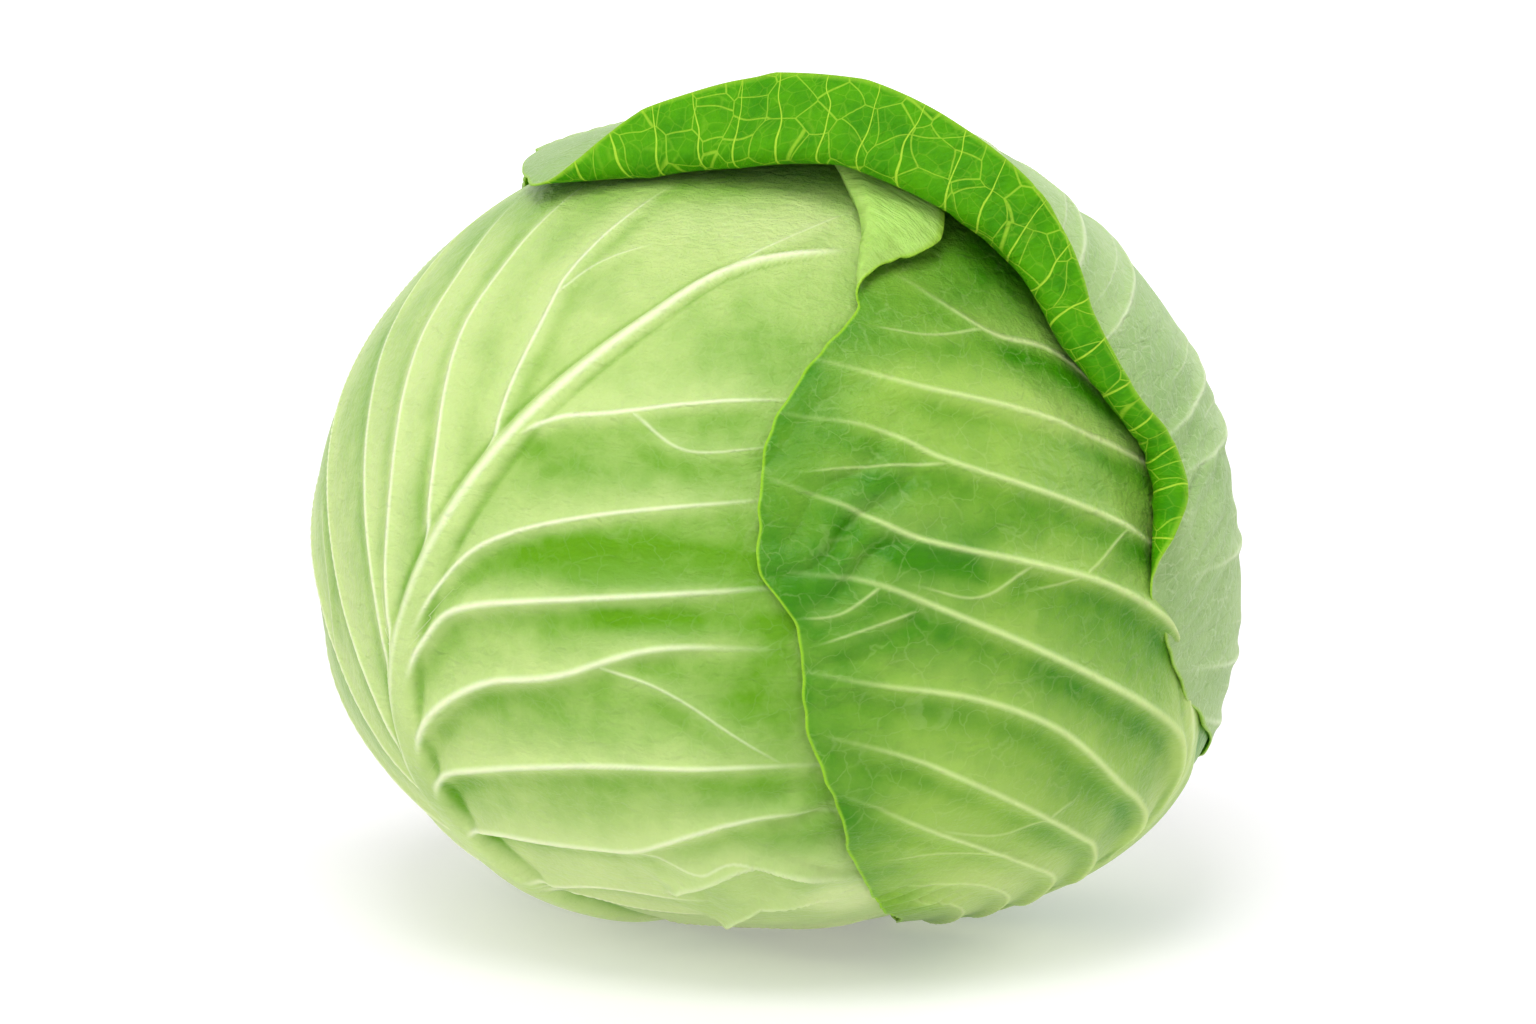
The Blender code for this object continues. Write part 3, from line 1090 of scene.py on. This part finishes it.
@dataclass
class Heart:
    """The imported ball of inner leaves, seen only where the outer leaves part."""

    level: float = -7.2
    columns: int = 96
    rows: int = 60

    def build(self, head: HeadShape) -> bpy.types.Object:
        """Work out a ball of rows and columns in the head's own shape, with a point at each pole.

        Args:
            head: the head it fills.

        Returns:
            The heart.
        """
        u = np.arange(self.columns) / self.columns * 2.0 * np.pi
        v = (np.arange(self.rows - 1, 0, -1) / self.rows * np.pi)[:, None]
        direction = np.stack([np.sin(v) * np.sin(u), -np.sin(v) * np.cos(u),
                              np.cos(v) * np.ones_like(u)], -1)
        poles = np.array([[0.0, 0.0, -1.0], [0.0, 0.0, 1.0]])
        points, corners, sizes = closed_rings(head.point(direction, self.level),
                                              head.point(poles, self.level))
        flat, zero = np.zeros_like(points), np.zeros(len(points))
        numbers = {"flat": flat, "rim": flat, "side": flat + 9.0, "plain": flat, "deep": zero + 0.3,
                   "pale": zero + 0.7, "edge": zero, "net": zero + 0.1, "inner": zero}
        obj = polygon_mesh("heart_ball", points * MM, corners, sizes, numbers)
        obj.data.materials.append(leaf_material(INNER_FINISH))
        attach(obj, "root")
        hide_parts("heart")
        return obj


@dataclass
class Stump:
    """The cut stem: a short stub with a softened rim, woody outside and moist across the cut."""

    radius: float = 16.5
    height: float = 9.0
    top_radius: float = 15.0
    around: int = 96
    rim: float = 0.9

    def build(self, head: HeadShape) -> bpy.types.Object:
        """Turn the stem's outline: flat cut, rounded rim, leaning side and flat top.

        Args:
            head: the head it carries.

        Returns:
            The stump.
        """
        turn = np.linspace(0.0, np.pi / 2.0, 6)
        rounded_r = self.radius - self.rim + self.rim * np.sin(turn)
        rounded_z = self.rim * (1.0 - np.cos(turn))
        flat_r = np.linspace(0.0, self.radius - self.rim, 14)[1:-1]
        top_r = np.linspace(self.top_radius, 0.0, 6)[:-1]
        r = np.concatenate([flat_r, rounded_r, top_r])
        z = np.concatenate([np.zeros_like(flat_r), rounded_z, np.full_like(top_r, self.height)])
        a = np.arange(self.around) / self.around * 2.0 * np.pi
        wobble = 1.0 + 0.015 * np.sin(5.0 * a + 0.4) + 0.01 * np.sin(9.0 * a)
        ring = np.stack([r[:, None] * np.cos(a) * wobble, r[:, None] * np.sin(a) * wobble,
                         z[:, None] * np.ones_like(a)], -1)
        ends = np.array([[0.0, 0.0, 0.0], [0.0, 0.0, self.height]])
        points, corners, sizes = closed_rings(ring, ends)
        points[:, :2] += head.axis
        reach = np.hypot(*(points[:, :2] - head.axis).T) / self.radius
        obj = polygon_mesh("stem_cut", points * MM, corners, sizes, {"reach": reach})
        obj.data.materials.append(self.material())
        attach(obj, "root")
        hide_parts("stem_stump")
        return obj

    def material(self) -> bpy.types.Material:
        """Make fresh cut cabbage stem: moist pale pith inside a ring of tougher green-white fibre.

        Returns:
            The material.
        """
        s = Shader("fresh_cut_cabbage_stem")
        place = s.add("TexCoord").outputs["Object"]
        grain = s.add("TexNoise", Vector=place, Scale=900.0, Detail=4.0).outputs[0]
        ring = s.ramp(s.attribute("reach"), 0.66, 0.86)
        colour = s.blend(ring, srgb("#e8ebcf"), srgb("#c6d594"))
        colour = s.blend(s.ramp(grain, 0.4, 0.75, 0.0, 0.4), colour, srgb("#b9b98c"))
        s.link(colour, "Base Color")
        s.link(s.add("Bump", Strength=0.4, Distance=0.0004, Height=grain).outputs[0], "Normal")
        shader = s.principled.inputs
        shader["Roughness"].default_value = 0.45
        shader["Subsurface Weight"].default_value = 0.3
        shader["Subsurface Radius"].default_value = (1.0, 1.0, 0.5)
        shader["Subsurface Scale"].default_value = 0.003
        return s.material


# A wax bloom greys the outside of the oldest leaf and dulls the shine of the young ones.
FRONT_FINISH = LeafFinish(
    "waxy_yellow_green_cabbage_leaf", light="#b0cc74", deep="#5e9a00", vein="#eef6cc", base="#d0e29c",
    edge="#b4d848", inner="#a8cc50", inner_vein="#dcebae", vein_share=0.78, sheen=0.06, network=0.04)
# Its base green, used for the leaf's pale foot and the bands beside its veins, is partly that foot's own
# colour and partly painted light from the white table below.
RIGHT_FINISH = LeafFinish(
    "waxy_mid_green_cabbage_leaf", light="#8ab53f", deep="#3c8403", vein="#d6e99e", base="#c4d984",
    edge="#9cd02c", inner="#aed86c", inner_vein="#d5ecaa", vein_share=0.75, network=0.1, sheen=0.01,
    roughness=0.36)
WRAPPER_FINISH = LeafFinish(
    "bloomed_dark_green_cabbage_leaf", light="#a4c27e", deep="#88ab64", vein="#d0e0b2", base="#b0cc88",
    edge="#96c234", inner="#4e9803", inner_vein="#b0d43c", inner_deep="#388404", vein_share=0.75,
    sheen=0.12, network=0.3, inner_net=0.9, specular=0.1, roughness=0.5)
BACK_FINISH = LeafFinish(
    "waxy_green_cabbage_leaf", light="#a2c45c", deep="#6a9c1a", vein="#dcebb2", base="#c2d88a",
    edge="#aed244", inner="#a5c85a", inner_vein="#d8e8ac", network=0.06)
INNER_FINISH = LeafFinish(
    "pale_inner_cabbage_leaf", light="#c8dc7c", deep="#a4c440", vein="#eaf3cb", base="#d8e6a4",
    edge="#bcd850", inner="#c8dc7c", inner_vein="#e6f0c4", network=0.05)

RIGHT = Side.RIGHT


def laterals(first: float, gap: float, count: int, reach: tuple[float, float], rise: float,
             width: float = 1.0, height: float = 0.9, tip: float = 0.35) -> tuple[Vein, ...]:
    """Lay side veins along a straight midrib, bending up towards the leaf's top.

    Args:
        first: where the lowest pair leaves the midrib, in millimetres up the leaf.
        gap: how far apart the pairs are.
        count: how many pairs.
        reach: how far the lowest and the highest go sideways.
        rise: how far a vein climbs on its way.
        width: ridge half-width at the root.
        height: ridge height at the root.
        tip: how much of both is left at the tip.

    Returns:
        The veins, each forked near its end.
    """
    veins = []
    shape = ((0.0, 0.0), (0.22, 0.42), (0.5, 0.85), (0.8, 1.05), (1.0, 1.35))
    for k in range(count):
        for side, way, shift in ((Side.RIGHT, -1.0, 0.0), (Side.LEFT, 1.0, 0.45 * gap)):
            y = first + k * gap + shift
            far = reach[0] + (reach[1] - reach[0]) * k / max(count - 1, 1)
            bend = rise * (1.0 + 0.25 * np.sin(2.4 * k + way))
            path = tuple((way * (out * far), y + up * bend) for out, up in shape)
            veins.append(Vein(path, width, height, 0.5 * height, side, tip))
            fork = (path[2], (way * 0.62 * far, y + 0.9 * bend + 0.25 * gap),
                    (way * 0.85 * far, y + bend + 0.5 * gap))
            veins.append(Vein(fork, 0.55 * width, 0.4 * height, 0.2, side, tone=0.6, branch=True))
    return tuple(veins)


def thin(*paths: Path, side: Side = Side.LEFT) -> tuple[Vein, ...]:
    """Make side branches: narrow, low veins."""
    return tuple(Vein(path, 0.6, 0.35, 0.3, side, swell=5.0, tone=0.5, branch=True) for path in paths)


# The left front leaf's veins: the near side's from the top down, the far side's from the top
# round to the bottom, and then their branches.
LEFT_FRONT_VEINS = (
    Vein(((1, 26), (13, 32), (24, 34), (44, 38), (60, 40))),
    Vein(((-17, -12), (-7, 1), (4, 9), (25, 15), (58, 20))),
    Vein(((-20, -22), (-12, -11), (-2, -4), (26, 0), (60, 3)), 1.4, 1.1, 1.4, swell=5.0),
    Vein(((-22, -38), (-13, -26), (1, -18), (17, -15), (36, -9), (56, -9)), 1.6, 1.2, 1.7, swell=7.0),
    Vein(((-24, -52), (-16, -40), (-4, -36), (22, -32), (47, -32), (64, -33)), 1.4, 1.1, 1.6),
    Vein(((-23, -60), (-13, -53), (10, -52), (25, -51), (38, -46), (52, -43), (66, -44)), 1.4, 1.2, 1.9),
    Vein(((-18, -68), (-5, -70), (10, -68), (34, -71)), 1.1, 0.9, 1.2),
    Vein(((-10, -72), (2, -75), (12, -79), (32, -81)), 1.0, 0.8, 1.0),
    Vein(((26, -66), (36, -59), (46, -55), (54, -57), (66, -66)), 1.2, 1.0, 2.8, tip=0.8, swell=7.0,
         tone=0.45),
    Vein(((30, -84), (40, -74), (52, -70), (62, -74)), 1.2, 0.9, 2.4, tip=0.7, swell=7.0, tone=0.35),
    Vein(((0, 24), (1, 38), (2, 50), (3, 66), (11, 93)), 1.0, 0.8, 0.5),
    Vein(((-12, 2), (-14, 24), (-19, 48), (-17, 66), (-14, 92)), 1.0, 0.8, 0.5, RIGHT),
    Vein(((-20, -26), (-24, -6), (-26, 16), (-33, 46), (-33, 66), (-38, 90)), 1.0, 0.8, 0.5, RIGHT),
    Vein(((-22, -34), (-26, -14), (-33, 6), (-43, 29), (-52, 50), (-56, 76), (-60, 104)),
         1.0, 0.8, 0.5, RIGHT),
    Vein(((-23, -46), (-32, -27), (-48, -8), (-60, 14), (-71, 40), (-80, 68), (-88, 98)),
         1.0, 0.8, 0.5, RIGHT),
    Vein(((-24, -54), (-38, -37), (-56, -23), (-74, -3), (-93, 26), (-108, 56), (-118, 84)),
         1.1, 0.8, 0.6, RIGHT, 0.5),
    Vein(((-20, -64), (-42, -54), (-68, -40), (-94, -18), (-118, 12), (-136, 46)),
         1.2, 0.9, 0.7, RIGHT, 0.5),
    Vein(((-15, -74), (-42, -70), (-72, -60), (-104, -42), (-132, -14), (-152, 14)),
         1.2, 0.9, 0.7, RIGHT, 0.5),
    Vein(((-10, -86), (-40, -88), (-74, -84), (-108, -70), (-138, -46)), 1.2, 0.9, 0.7, RIGHT, 0.5),
    Vein(((-6, -98), (-34, -106), (-66, -108), (-96, -98)), 1.1, 0.8, 0.6, RIGHT, 0.5),
    Vein(((2, -98), (26, -104), (48, -102), (66, -92)), 1.0, 0.7, 0.5, tip=0.5),
) + thin(((29, 34), (40, 28), (56, 30)), ((26, -13), (39, -18), (58, -33)),
         ((25, -51), (36, -56), (46, -54), (66, -67)), ((2, 58), (8, 67), (18, 74)),
         ((-93, 26), (-84, 52), (-82, 76)), ((-94, -18), (-100, 10), (-112, 36), (-120, 58)),
         ((-104, -42), (-116, -32), (-136, -26), (-156, -22)), ((-74, -84), (-92, -92), (-118, -88)),
         ((-56, -23), (-58, -8), (-66, 12)), ((-72, -60), (-82, -40), (-96, -28)),
         ((40, 71), (49, 81), (58, 92)))

# The right front leaf's veins, from the top down, and then their branches.
RIGHT_FRONT_VEINS = (
    Vein(((52, 8), (13, 29), (-3, 43), (-18, 49), (-30, 62)), 1.3, 1.0, 1.2, RIGHT, tip=0.7),
    Vein(((56, -4), (10, 21), (-15, 31), (-37, 39), (-55, 48)), 1.3, 1.0, 1.3, RIGHT, tip=0.6),
    Vein(((58, -20), (12, 4), (-7, 13), (-34, 24), (-47, 32), (-63, 37)), 1.4, 1.1, 1.4, RIGHT),
    Vein(((26, -20), (15, -11), (-3, -1), (-21, 5), (-42, 11), (-55, 18), (-67, 24)),
         1.4, 1.2, 1.7, RIGHT),
    Vein(((28, -48), (24, -37), (17, -29), (-10, -15), (-38, -2), (-52, 4), (-65, 6)),
         1.5, 1.2, 1.8, RIGHT),
    Vein(((26, -62), (22, -50), (14, -43), (4, -37), (-14, -25), (-32, -18), (-50, -15), (-62, -13)),
         1.4, 1.1, 1.6, RIGHT),
    Vein(((25, -76), (18, -62), (9, -53), (2, -49), (-18, -39), (-39, -30), (-57, -25)),
         1.3, 1.0, 1.4, RIGHT),
    Vein(((23, -88), (14, -72), (6, -62), (-17, -51), (-37, -43), (-51, -37)), 1.2, 0.9, 1.3, RIGHT),
    Vein(((19, -96), (9, -80), (0, -69), (-16, -61), (-34, -62)), 1.0, 0.8, 1.1, RIGHT),
    Vein(((14, -104), (4, -88), (-7, -75), (-17, -69), (-28, -69)), 0.9, 0.7, 1.0, RIGHT),
) + thin(((-18, 49), (-31, 49), (-42, 53)), ((-36, 24), (-50, 25), (-62, 25)),
         ((-44, -2), (-53, -5), (-61, -8)), ((-50, 3), (-57, -2), (-64, -3)),
         ((-15, -51), (-30, -51), (-41, -53)), ((-21, 5), (-32, 0), (-44, 3)),
         ((2, 9), (-10, 2), (-24, 0)), ((-6, -40), (-18, -46), (-34, -44)), side=RIGHT)


def inner_leaves() -> tuple[Leaf, ...]:
    """Describe the three pale leaves round the heart: one pattern, turned round the stem.

    Returns:
        The leaves.
    """
    outline = ((0, 84), (45, 80), (90, 66), (125, 62), (150, 70), (170, 80), (190, 80),
               (210, 70), (235, 62), (270, 66), (315, 80))
    return tuple(
        Leaf(f"inner_leaf_{name}", azimuth, -25, -4.9, outline, INNER_FINISH,
             rings=64, stride=2, core=60, swell=0.2, seed=seed,
             midrib=Midrib(((0, -82), (0, -40), (0, 60)), 4.0, 1.2, 0.8, 0.3),
             veins=laterals(-66, 20, 5, (40, 60), 16, 0.8, 0.5), deep=0.3, pale_from=(-10, -70))
        for name, azimuth, seed in (("front", 15, 31), ("left", -95, 32), ("right", 120, 33)))


def back_left_leaf() -> Leaf:
    """Describe the leaf that closes the back left.

    Returns:
        The leaf.
    """
    return Leaf(
        "back_left_leaf", -130, 0, -2.4,
        ((7, 87), (36, 65), (71, 52), (90, 48), (109, 50), (137, 67), (152, 94), (162, 110),
         (173, 118), (187, 118), (197, 106), (215, 107), (250, 103), (292, 105), (319, 109),
         (340, 103), (352, 95)),
        BACK_FINISH, rings=96, stride=3, core=70, swell=0.3, seed=5,
        midrib=Midrib(((0, -119), (0, -70), (0, 40)), 5.0, 2.6, 1.0, 0.2),
        veins=laterals(-96, 17, 6, (46, 70), 12, 0.9, 0.6), pale_from=(-70, -118))


def left_front_leaf() -> Leaf:
    """Describe the big leaf whose stalk sweeps up the left and over the front.

    Returns:
        The leaf.
    """
    return Leaf(
        "left_front_leaf", -35, 0, 0.0,
        ((0, 157), (18, 154), (34, 134), (50, 108), (70, 90), (100, 84), (120, 92), (136, 113),
         (146, 118), (160, 112), (178, 118), (190, 117), (210, 115), (235, 141), (265, 170),
         (300, 166), (330, 159)),
        FRONT_FINISH,
        midrib=Midrib(((-2, -116), (-7, -86), (-15, -70), (-21, -53), (-22, -34), (-20, -17),
                       (-14, -2), (-7, 11), (2, 25), (12, 38), (25, 53), (40, 69), (63, 79)),
                      6.4, 4.6, 1.2, 0.8, 1.3),
        veins=LEFT_FRONT_VEINS,
        puckers=(Pucker((44, -62), (14, 12), 12.0, 1.1, 84.0, 4),
                 Pucker((58, -58), (9, 9), 9.0, 0.9, -28.0, 6),
                 Pucker((60, -44), (9, 5), 7.0, 0.9, 2.0, 7),
                 Pucker((34, -22), (22, 40), 10.0, 0.18, 4.0, 8)),
        # Some of these are painted light and shade. The narrow deeper strips at (36, 6), (24, 23), (38,
        # -5), (44, -17), (30, -24), (52, -39) and (56, -50) are painted shade where the blade dips between
        # the veins. The richer green at (17, 92) is painted shade under the wrapper's rolled rim, tinted
        # as light through it. The paler patch at (38, 84) beside it is a painted highlight.
        patches=(Patch((36, 6), (24, 5), 0.95), Patch((24, 23), (18, 6), 0.5),
                 Patch((44, -17), (15, 6), 0.35), Patch((38, -5), (22, 3), 0.5),
                 Patch((30, -24), (26, 5), 0.25), Patch((52, -39), (14, 4), 0.4),
                 Patch((56, -50), (12, 3), 0.5), Patch((14, 60), (26, 18), -0.35, 0.25),
                 Patch((-30, 30), (18, 45), -0.2, 0.3), Patch((20, -58), (40, 10), -0.2, 0.3),
                 Patch((17, 92), (26, 7), 0.12, -0.3), Patch((38, 84), (30, 12), -0.5, 0.5),
                 Patch((-100, 0), (40, 60), -0.15, 0.15), Patch((60, -74), (8, 7), -0.6, 0.9),
                 Patch((58, -4), (6, 12), 0.25)),
        covers=(Cover(60.0, 72.0),), pale_from=(-38.0, -92.0))


def right_front_leaf() -> Leaf:
    """Describe the leaf over the front right, with its top corner folded back.

    Returns:
        The leaf.
    """
    folded_corner = Curl(
        1.4, ((0, 178), (180, 178)),
        ((324, 0), (330, 6), (337, 17), (343, 20), (347, 19), (352, 11), (358, 0)), rings=26)
    return Leaf(
        "right_front_leaf", 45, 0, 2.2,
        ((3, 118), (23, 120), (45, 116), (70, 110), (95, 112), (120, 124), (142, 124), (160, 120),
         (172, 112), (182, 97), (191, 85), (201, 79), (208, 75), (216, 71.5), (224, 69), (233, 66),
         (250, 65.5), (262, 64), (269, 66), (275, 71), (283, 72), (296, 74), (312, 72), (324, 71),
         (332, 76), (339, 82), (346, 96), (353, 110)),
        RIGHT_FINISH, rings=136, stride=2, core=80,
        midrib=Midrib(((14, -116), (22, -98), (30, -78), (32, -62), (32, -48), (30, -36),
                       (26, -24), (23, -10), (22, 10), (26, 40)), 7.5, 3.4, 1.5, 0.3, 1.0, 0.85),
        veins=RIGHT_FRONT_VEINS,
        puckers=(Pucker((-54, 14), (14, 22), 9.0, 1.0, 35.0, 11),
                 Pucker((-50, -30), (12, 26), 9.0, 0.6, 0.0, 12),
                 Pucker((-26, 88), (20, 14), 7.0, 1.1, 10.0, 13),
                 Pucker((-26, -70), (9, 7), 4.5, 0.8, 50.0, 14)),
        # Some of these are painted light and shade. The deeper patches at (-10, 58), (8, 38) and (30, 30)
        # are painted shade under the wrapper's rolled rim. The less pale patch at (52, -62) is painted
        # shade on the stalk's right flank, which faces down. The paler patch at (6, -76) is painted light
        # where the white table lights the underside.
        patches=(Patch((-52, 20), (10, 5), 0.5, 0.0, 15.0), Patch((-56, 36), (7, 14), 0.35),
                 Patch((-10, 58), (20, 12), 0.4), Patch((8, 38), (9, 26), 0.5),
                 Patch((-36, 10), (12, 6), 0.3), Patch((-12, 29), (18, 7), -0.4, 0.2, -20.0),
                 Patch((-44, 40), (9, 6), -0.3, 0.1), Patch((24, -40), (6, 30), -0.4, 0.45, 4.0),
                 Patch((6, -76), (30, 12), -0.5, 0.45), Patch((-30, -50), (16, 16), -0.5, 0.1),
                 Patch((-32, 10), (14, 4), 0.2, -0.1, 10.0), Patch((-10, -62), (20, 9), -0.5, 0.5),
                 Patch((52, -62), (14, 26), 0.2, -0.5, -20.0), Patch((-62, 6), (8, 8), 0.3),
                 Patch((-31, -69), (6, 6), -0.7, -0.3), Patch((30, 30), (14, 50), 0.5, -0.2, 20.0)),
        curl=folded_corner,
        lift=Lift(((178, -0.6), (190, -0.9), (200, -0.8), (209, -0.2), (216, 0.4), (232, 1.3),
                   (246, 0.8), (262, -0.6), (300, -0.9), (316, -0.5), (326, 0), (360, 0)), 0.0, 15.0),
        covers=(Cover(78.0, 96.0), Cover(5.0, 13.0, 31.0, -36.0)), frill=0.12, pale_band_and_painted_light=0.32, deep=0.6,
        margin=0.2, pale_from=(-70.0, -118.0), edge_width=0.7, painted_edge_glow=0.7)


def wrapper_leaf() -> Leaf:
    """Describe the oldest leaf, over the back and right, its rim rolled back over the top.

    Returns:
        The leaf.
    """
    rolled_rim = Curl(
        3.0, ((0, 135), (20, 120), (268, 150), (290, 165), (303, 150), (320, 138)),
        ((0, 15), (8, 7), (14, 2.5), (19, 0), (266, 0), (271, 2.5), (275, 6.5), (279, 9), (285, 8.5),
         (292, 8.5), (299, 10.5), (303, 11.5), (313, 16.5), (327, 19), (345, 21)),
        rings=42, ruffle=1.0)
    return Leaf(
        "wrapper_leaf", 150, 10, 4.4,
        ((0, 171), (12, 176), (17, 176), (22, 168), (30, 143), (41, 128), (59, 116), (80, 114),
         (102, 114), (125, 112), (148, 114), (162, 126), (173, 129), (185, 128), (196, 127),
         (209, 113), (221, 109), (233, 111), (244, 126), (254, 145), (264, 154), (270, 156.5),
         (276, 152.5), (281, 148.5), (286, 148), (292, 152), (299, 155), (306, 155), (314, 156.5),
         (327, 160), (345, 166)),
        WRAPPER_FINISH, rings=136, stride=2, core=150, grain=2.8, swell=0.9, seed=21,
        midrib=Midrib(((2, -130), (0, -80), (0, 0), (-4, 90), (-10, 150)), 5.5, 2.6, 1.0, 0.5),
        veins=laterals(-104, 24, 9, (140, 150), 22, 1.5, 0.8, 0.75),
        puckers=(Pucker((-134, 20), (18, 50), 8.0, 0.45, 20.0, 15),
                 Pucker((-112, 30), (16, 40), 11.0, 0.4, -30.0, 16)),
        patches=(Patch((-122, 46), (14, 16), 0.7, -0.3),), curl=rolled_rim,
        lift=Lift(((0, -2.2), (8, -1), (17, 0.7), (40, 0), (160, 0), (176, -0.8), (190, -0.8),
                   (212, -1.3), (252, -1.3), (268, 0), (290, -0.4), (302, 0.6), (309, 2.8),
                   (316, 4.2), (335, 4.2), (347, -0.4)), 12.0, 60.0),
        frill=0.5, pale_from=(-60.0, -125.0), edge_width=0.9, painted_edge_glow=0.7)


@dataclass(frozen=True)
class Softbox:
    """A square lamp: its energy in watts, its size in metres and where it hangs."""

    name: str
    energy: float
    size: float
    place: tuple[float, float, float]

    def hang(self, target: Vector) -> None:
        """Hang the lamp, turned towards a point."""
        lamp = bpy.data.lights.new(self.name, "AREA")
        lamp.energy, lamp.size, lamp.shape = self.energy, self.size, "SQUARE"
        obj = bpy.data.objects.new(self.name, lamp)
        obj.matrix_world = facing(Vector(self.place), target)
        bpy.context.scene.collection.objects.link(obj)


def facing(place: Vector, target: Vector) -> Matrix:
    """Stand something at a place with its own -Z towards a point."""
    return Matrix.Translation(place) @ (target - place).to_track_quat("-Z", "Y").to_matrix().to_4x4()


@dataclass
class Studio:
    """White table and backdrop, broad soft lamps, and the camera. Lengths are in metres."""

    lens: float = 90.0
    distance: float = 0.7812
    elevation: float = 9.0
    aim_right: float = 0.0015
    aim_height: float = 0.083
    world_light: float = 0.52
    lamps: tuple[Softbox, ...] = (
        Softbox("front_softbox", 2.9, 0.6, (-0.35, -1.0, 0.68)),
        Softbox("overhead_softbox", 6.5, 0.5, (-0.1, -0.62, 1.05)),
        Softbox("left_softbox", 1.2, 0.5, (-1.0, -0.2, 0.5)),
        Softbox("right_softbox", 3.5, 0.45, (0.95, 0.35, 0.6)),
    )

    def build(self, head: HeadShape) -> None:
        """Lay the backdrop, hang the lamps and set up the camera.

        Args:
            head: what they are set up round.
        """
        self.backdrop()
        for lamp in self.lamps:
            lamp.hang(Vector((0.0, 0.0, 0.08)))
        world = bpy.data.worlds.new("white_studio")
        world.use_nodes = True
        light = world.node_tree.nodes["Background"].inputs
        light["Color"].default_value = (1.0, 1.0, 1.0, 1.0)
        light["Strength"].default_value = self.world_light
        bpy.context.scene.world = world
        bpy.context.scene.view_settings.view_transform = "Standard"
        self.camera(head)

    def backdrop(self) -> None:
        """Sweep a white sheet along the table and up behind in one curve."""
        turn = np.linspace(0.0, np.pi / 2.0, 24)
        y = np.concatenate([[-4.0], 2.5 + 1.5 * np.sin(turn), [4.0]])
        z = np.concatenate([[0.0], 1.5 - 1.5 * np.cos(turn), [5.0]])
        x = np.array([-6.0, 6.0])
        points = np.stack([np.tile(x, len(y)), np.repeat(y, 2), np.repeat(z, 2)], -1)
        k = np.arange(len(y) - 1)[:, None] * 2
        corners = (k + np.array([0, 1, 3, 2])).ravel().astype(np.int32)
        obj = polygon_mesh("paper_sweep", points, corners, np.full(len(y) - 1, 4), {})
        s = Shader("matt_white_paper")
        s.principled.inputs["Base Color"].default_value = srgb("#dedbdf")
        s.principled.inputs["Roughness"].default_value = 0.9
        s.principled.inputs["Emission Color"].default_value = (1.0, 1.0, 1.0, 1.0)
        # The far end has light of its own, so that it stays as white as the table.
        depth = s.add("SeparateXYZ", i0=s.add("TexCoord").outputs["Object"]).outputs[1]
        s.link(s.ramp(depth, 0.2, 1.8, 0.29, 0.75), "Emission Strength")
        obj.data.materials.append(s.material)

    def camera(self, head: HeadShape) -> None:
        """Stand the camera in front, a little above, looking at the middle of the head.

        Args:
            head: what it looks at.
        """
        aim = Vector((head.axis[0] * MM + self.aim_right, head.axis[1] * MM, self.aim_height))
        up = np.radians(self.elevation)
        place = aim + Vector((0.0, -np.cos(up), np.sin(up))) * self.distance
        data = bpy.data.cameras.new("front_camera")
        data.lens, data.sensor_width, data.clip_start = self.lens, 36.0, 0.01
        obj = bpy.data.objects.new("front_camera", data)
        obj.matrix_world = facing(place, aim)
        bpy.context.scene.collection.objects.link(obj)
        bpy.context.scene.camera = obj


def main() -> None:
    """Build the cabbage from the heart out, then its studio."""
    logging.basicConfig(level=logging.INFO, format="%(message)s")
    low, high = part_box("stem_stump")
    middle = (np.array(low) + np.array(high)) / 2.0 / MM
    head = HeadShape(axis=(float(middle[0]), float(middle[1])))
    parts = [Stump(), Heart(), *inner_leaves(), back_left_leaf(), left_front_leaf(),
             right_front_leaf(), wrapper_leaf()]
    for part in parts:
        obj = part.build(head)
        log.info("%s: %d points, %d faces", obj.name, len(obj.data.vertices), len(obj.data.polygons))
    Studio().build(head)
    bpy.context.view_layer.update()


if __name__ == "__main__":
    main()
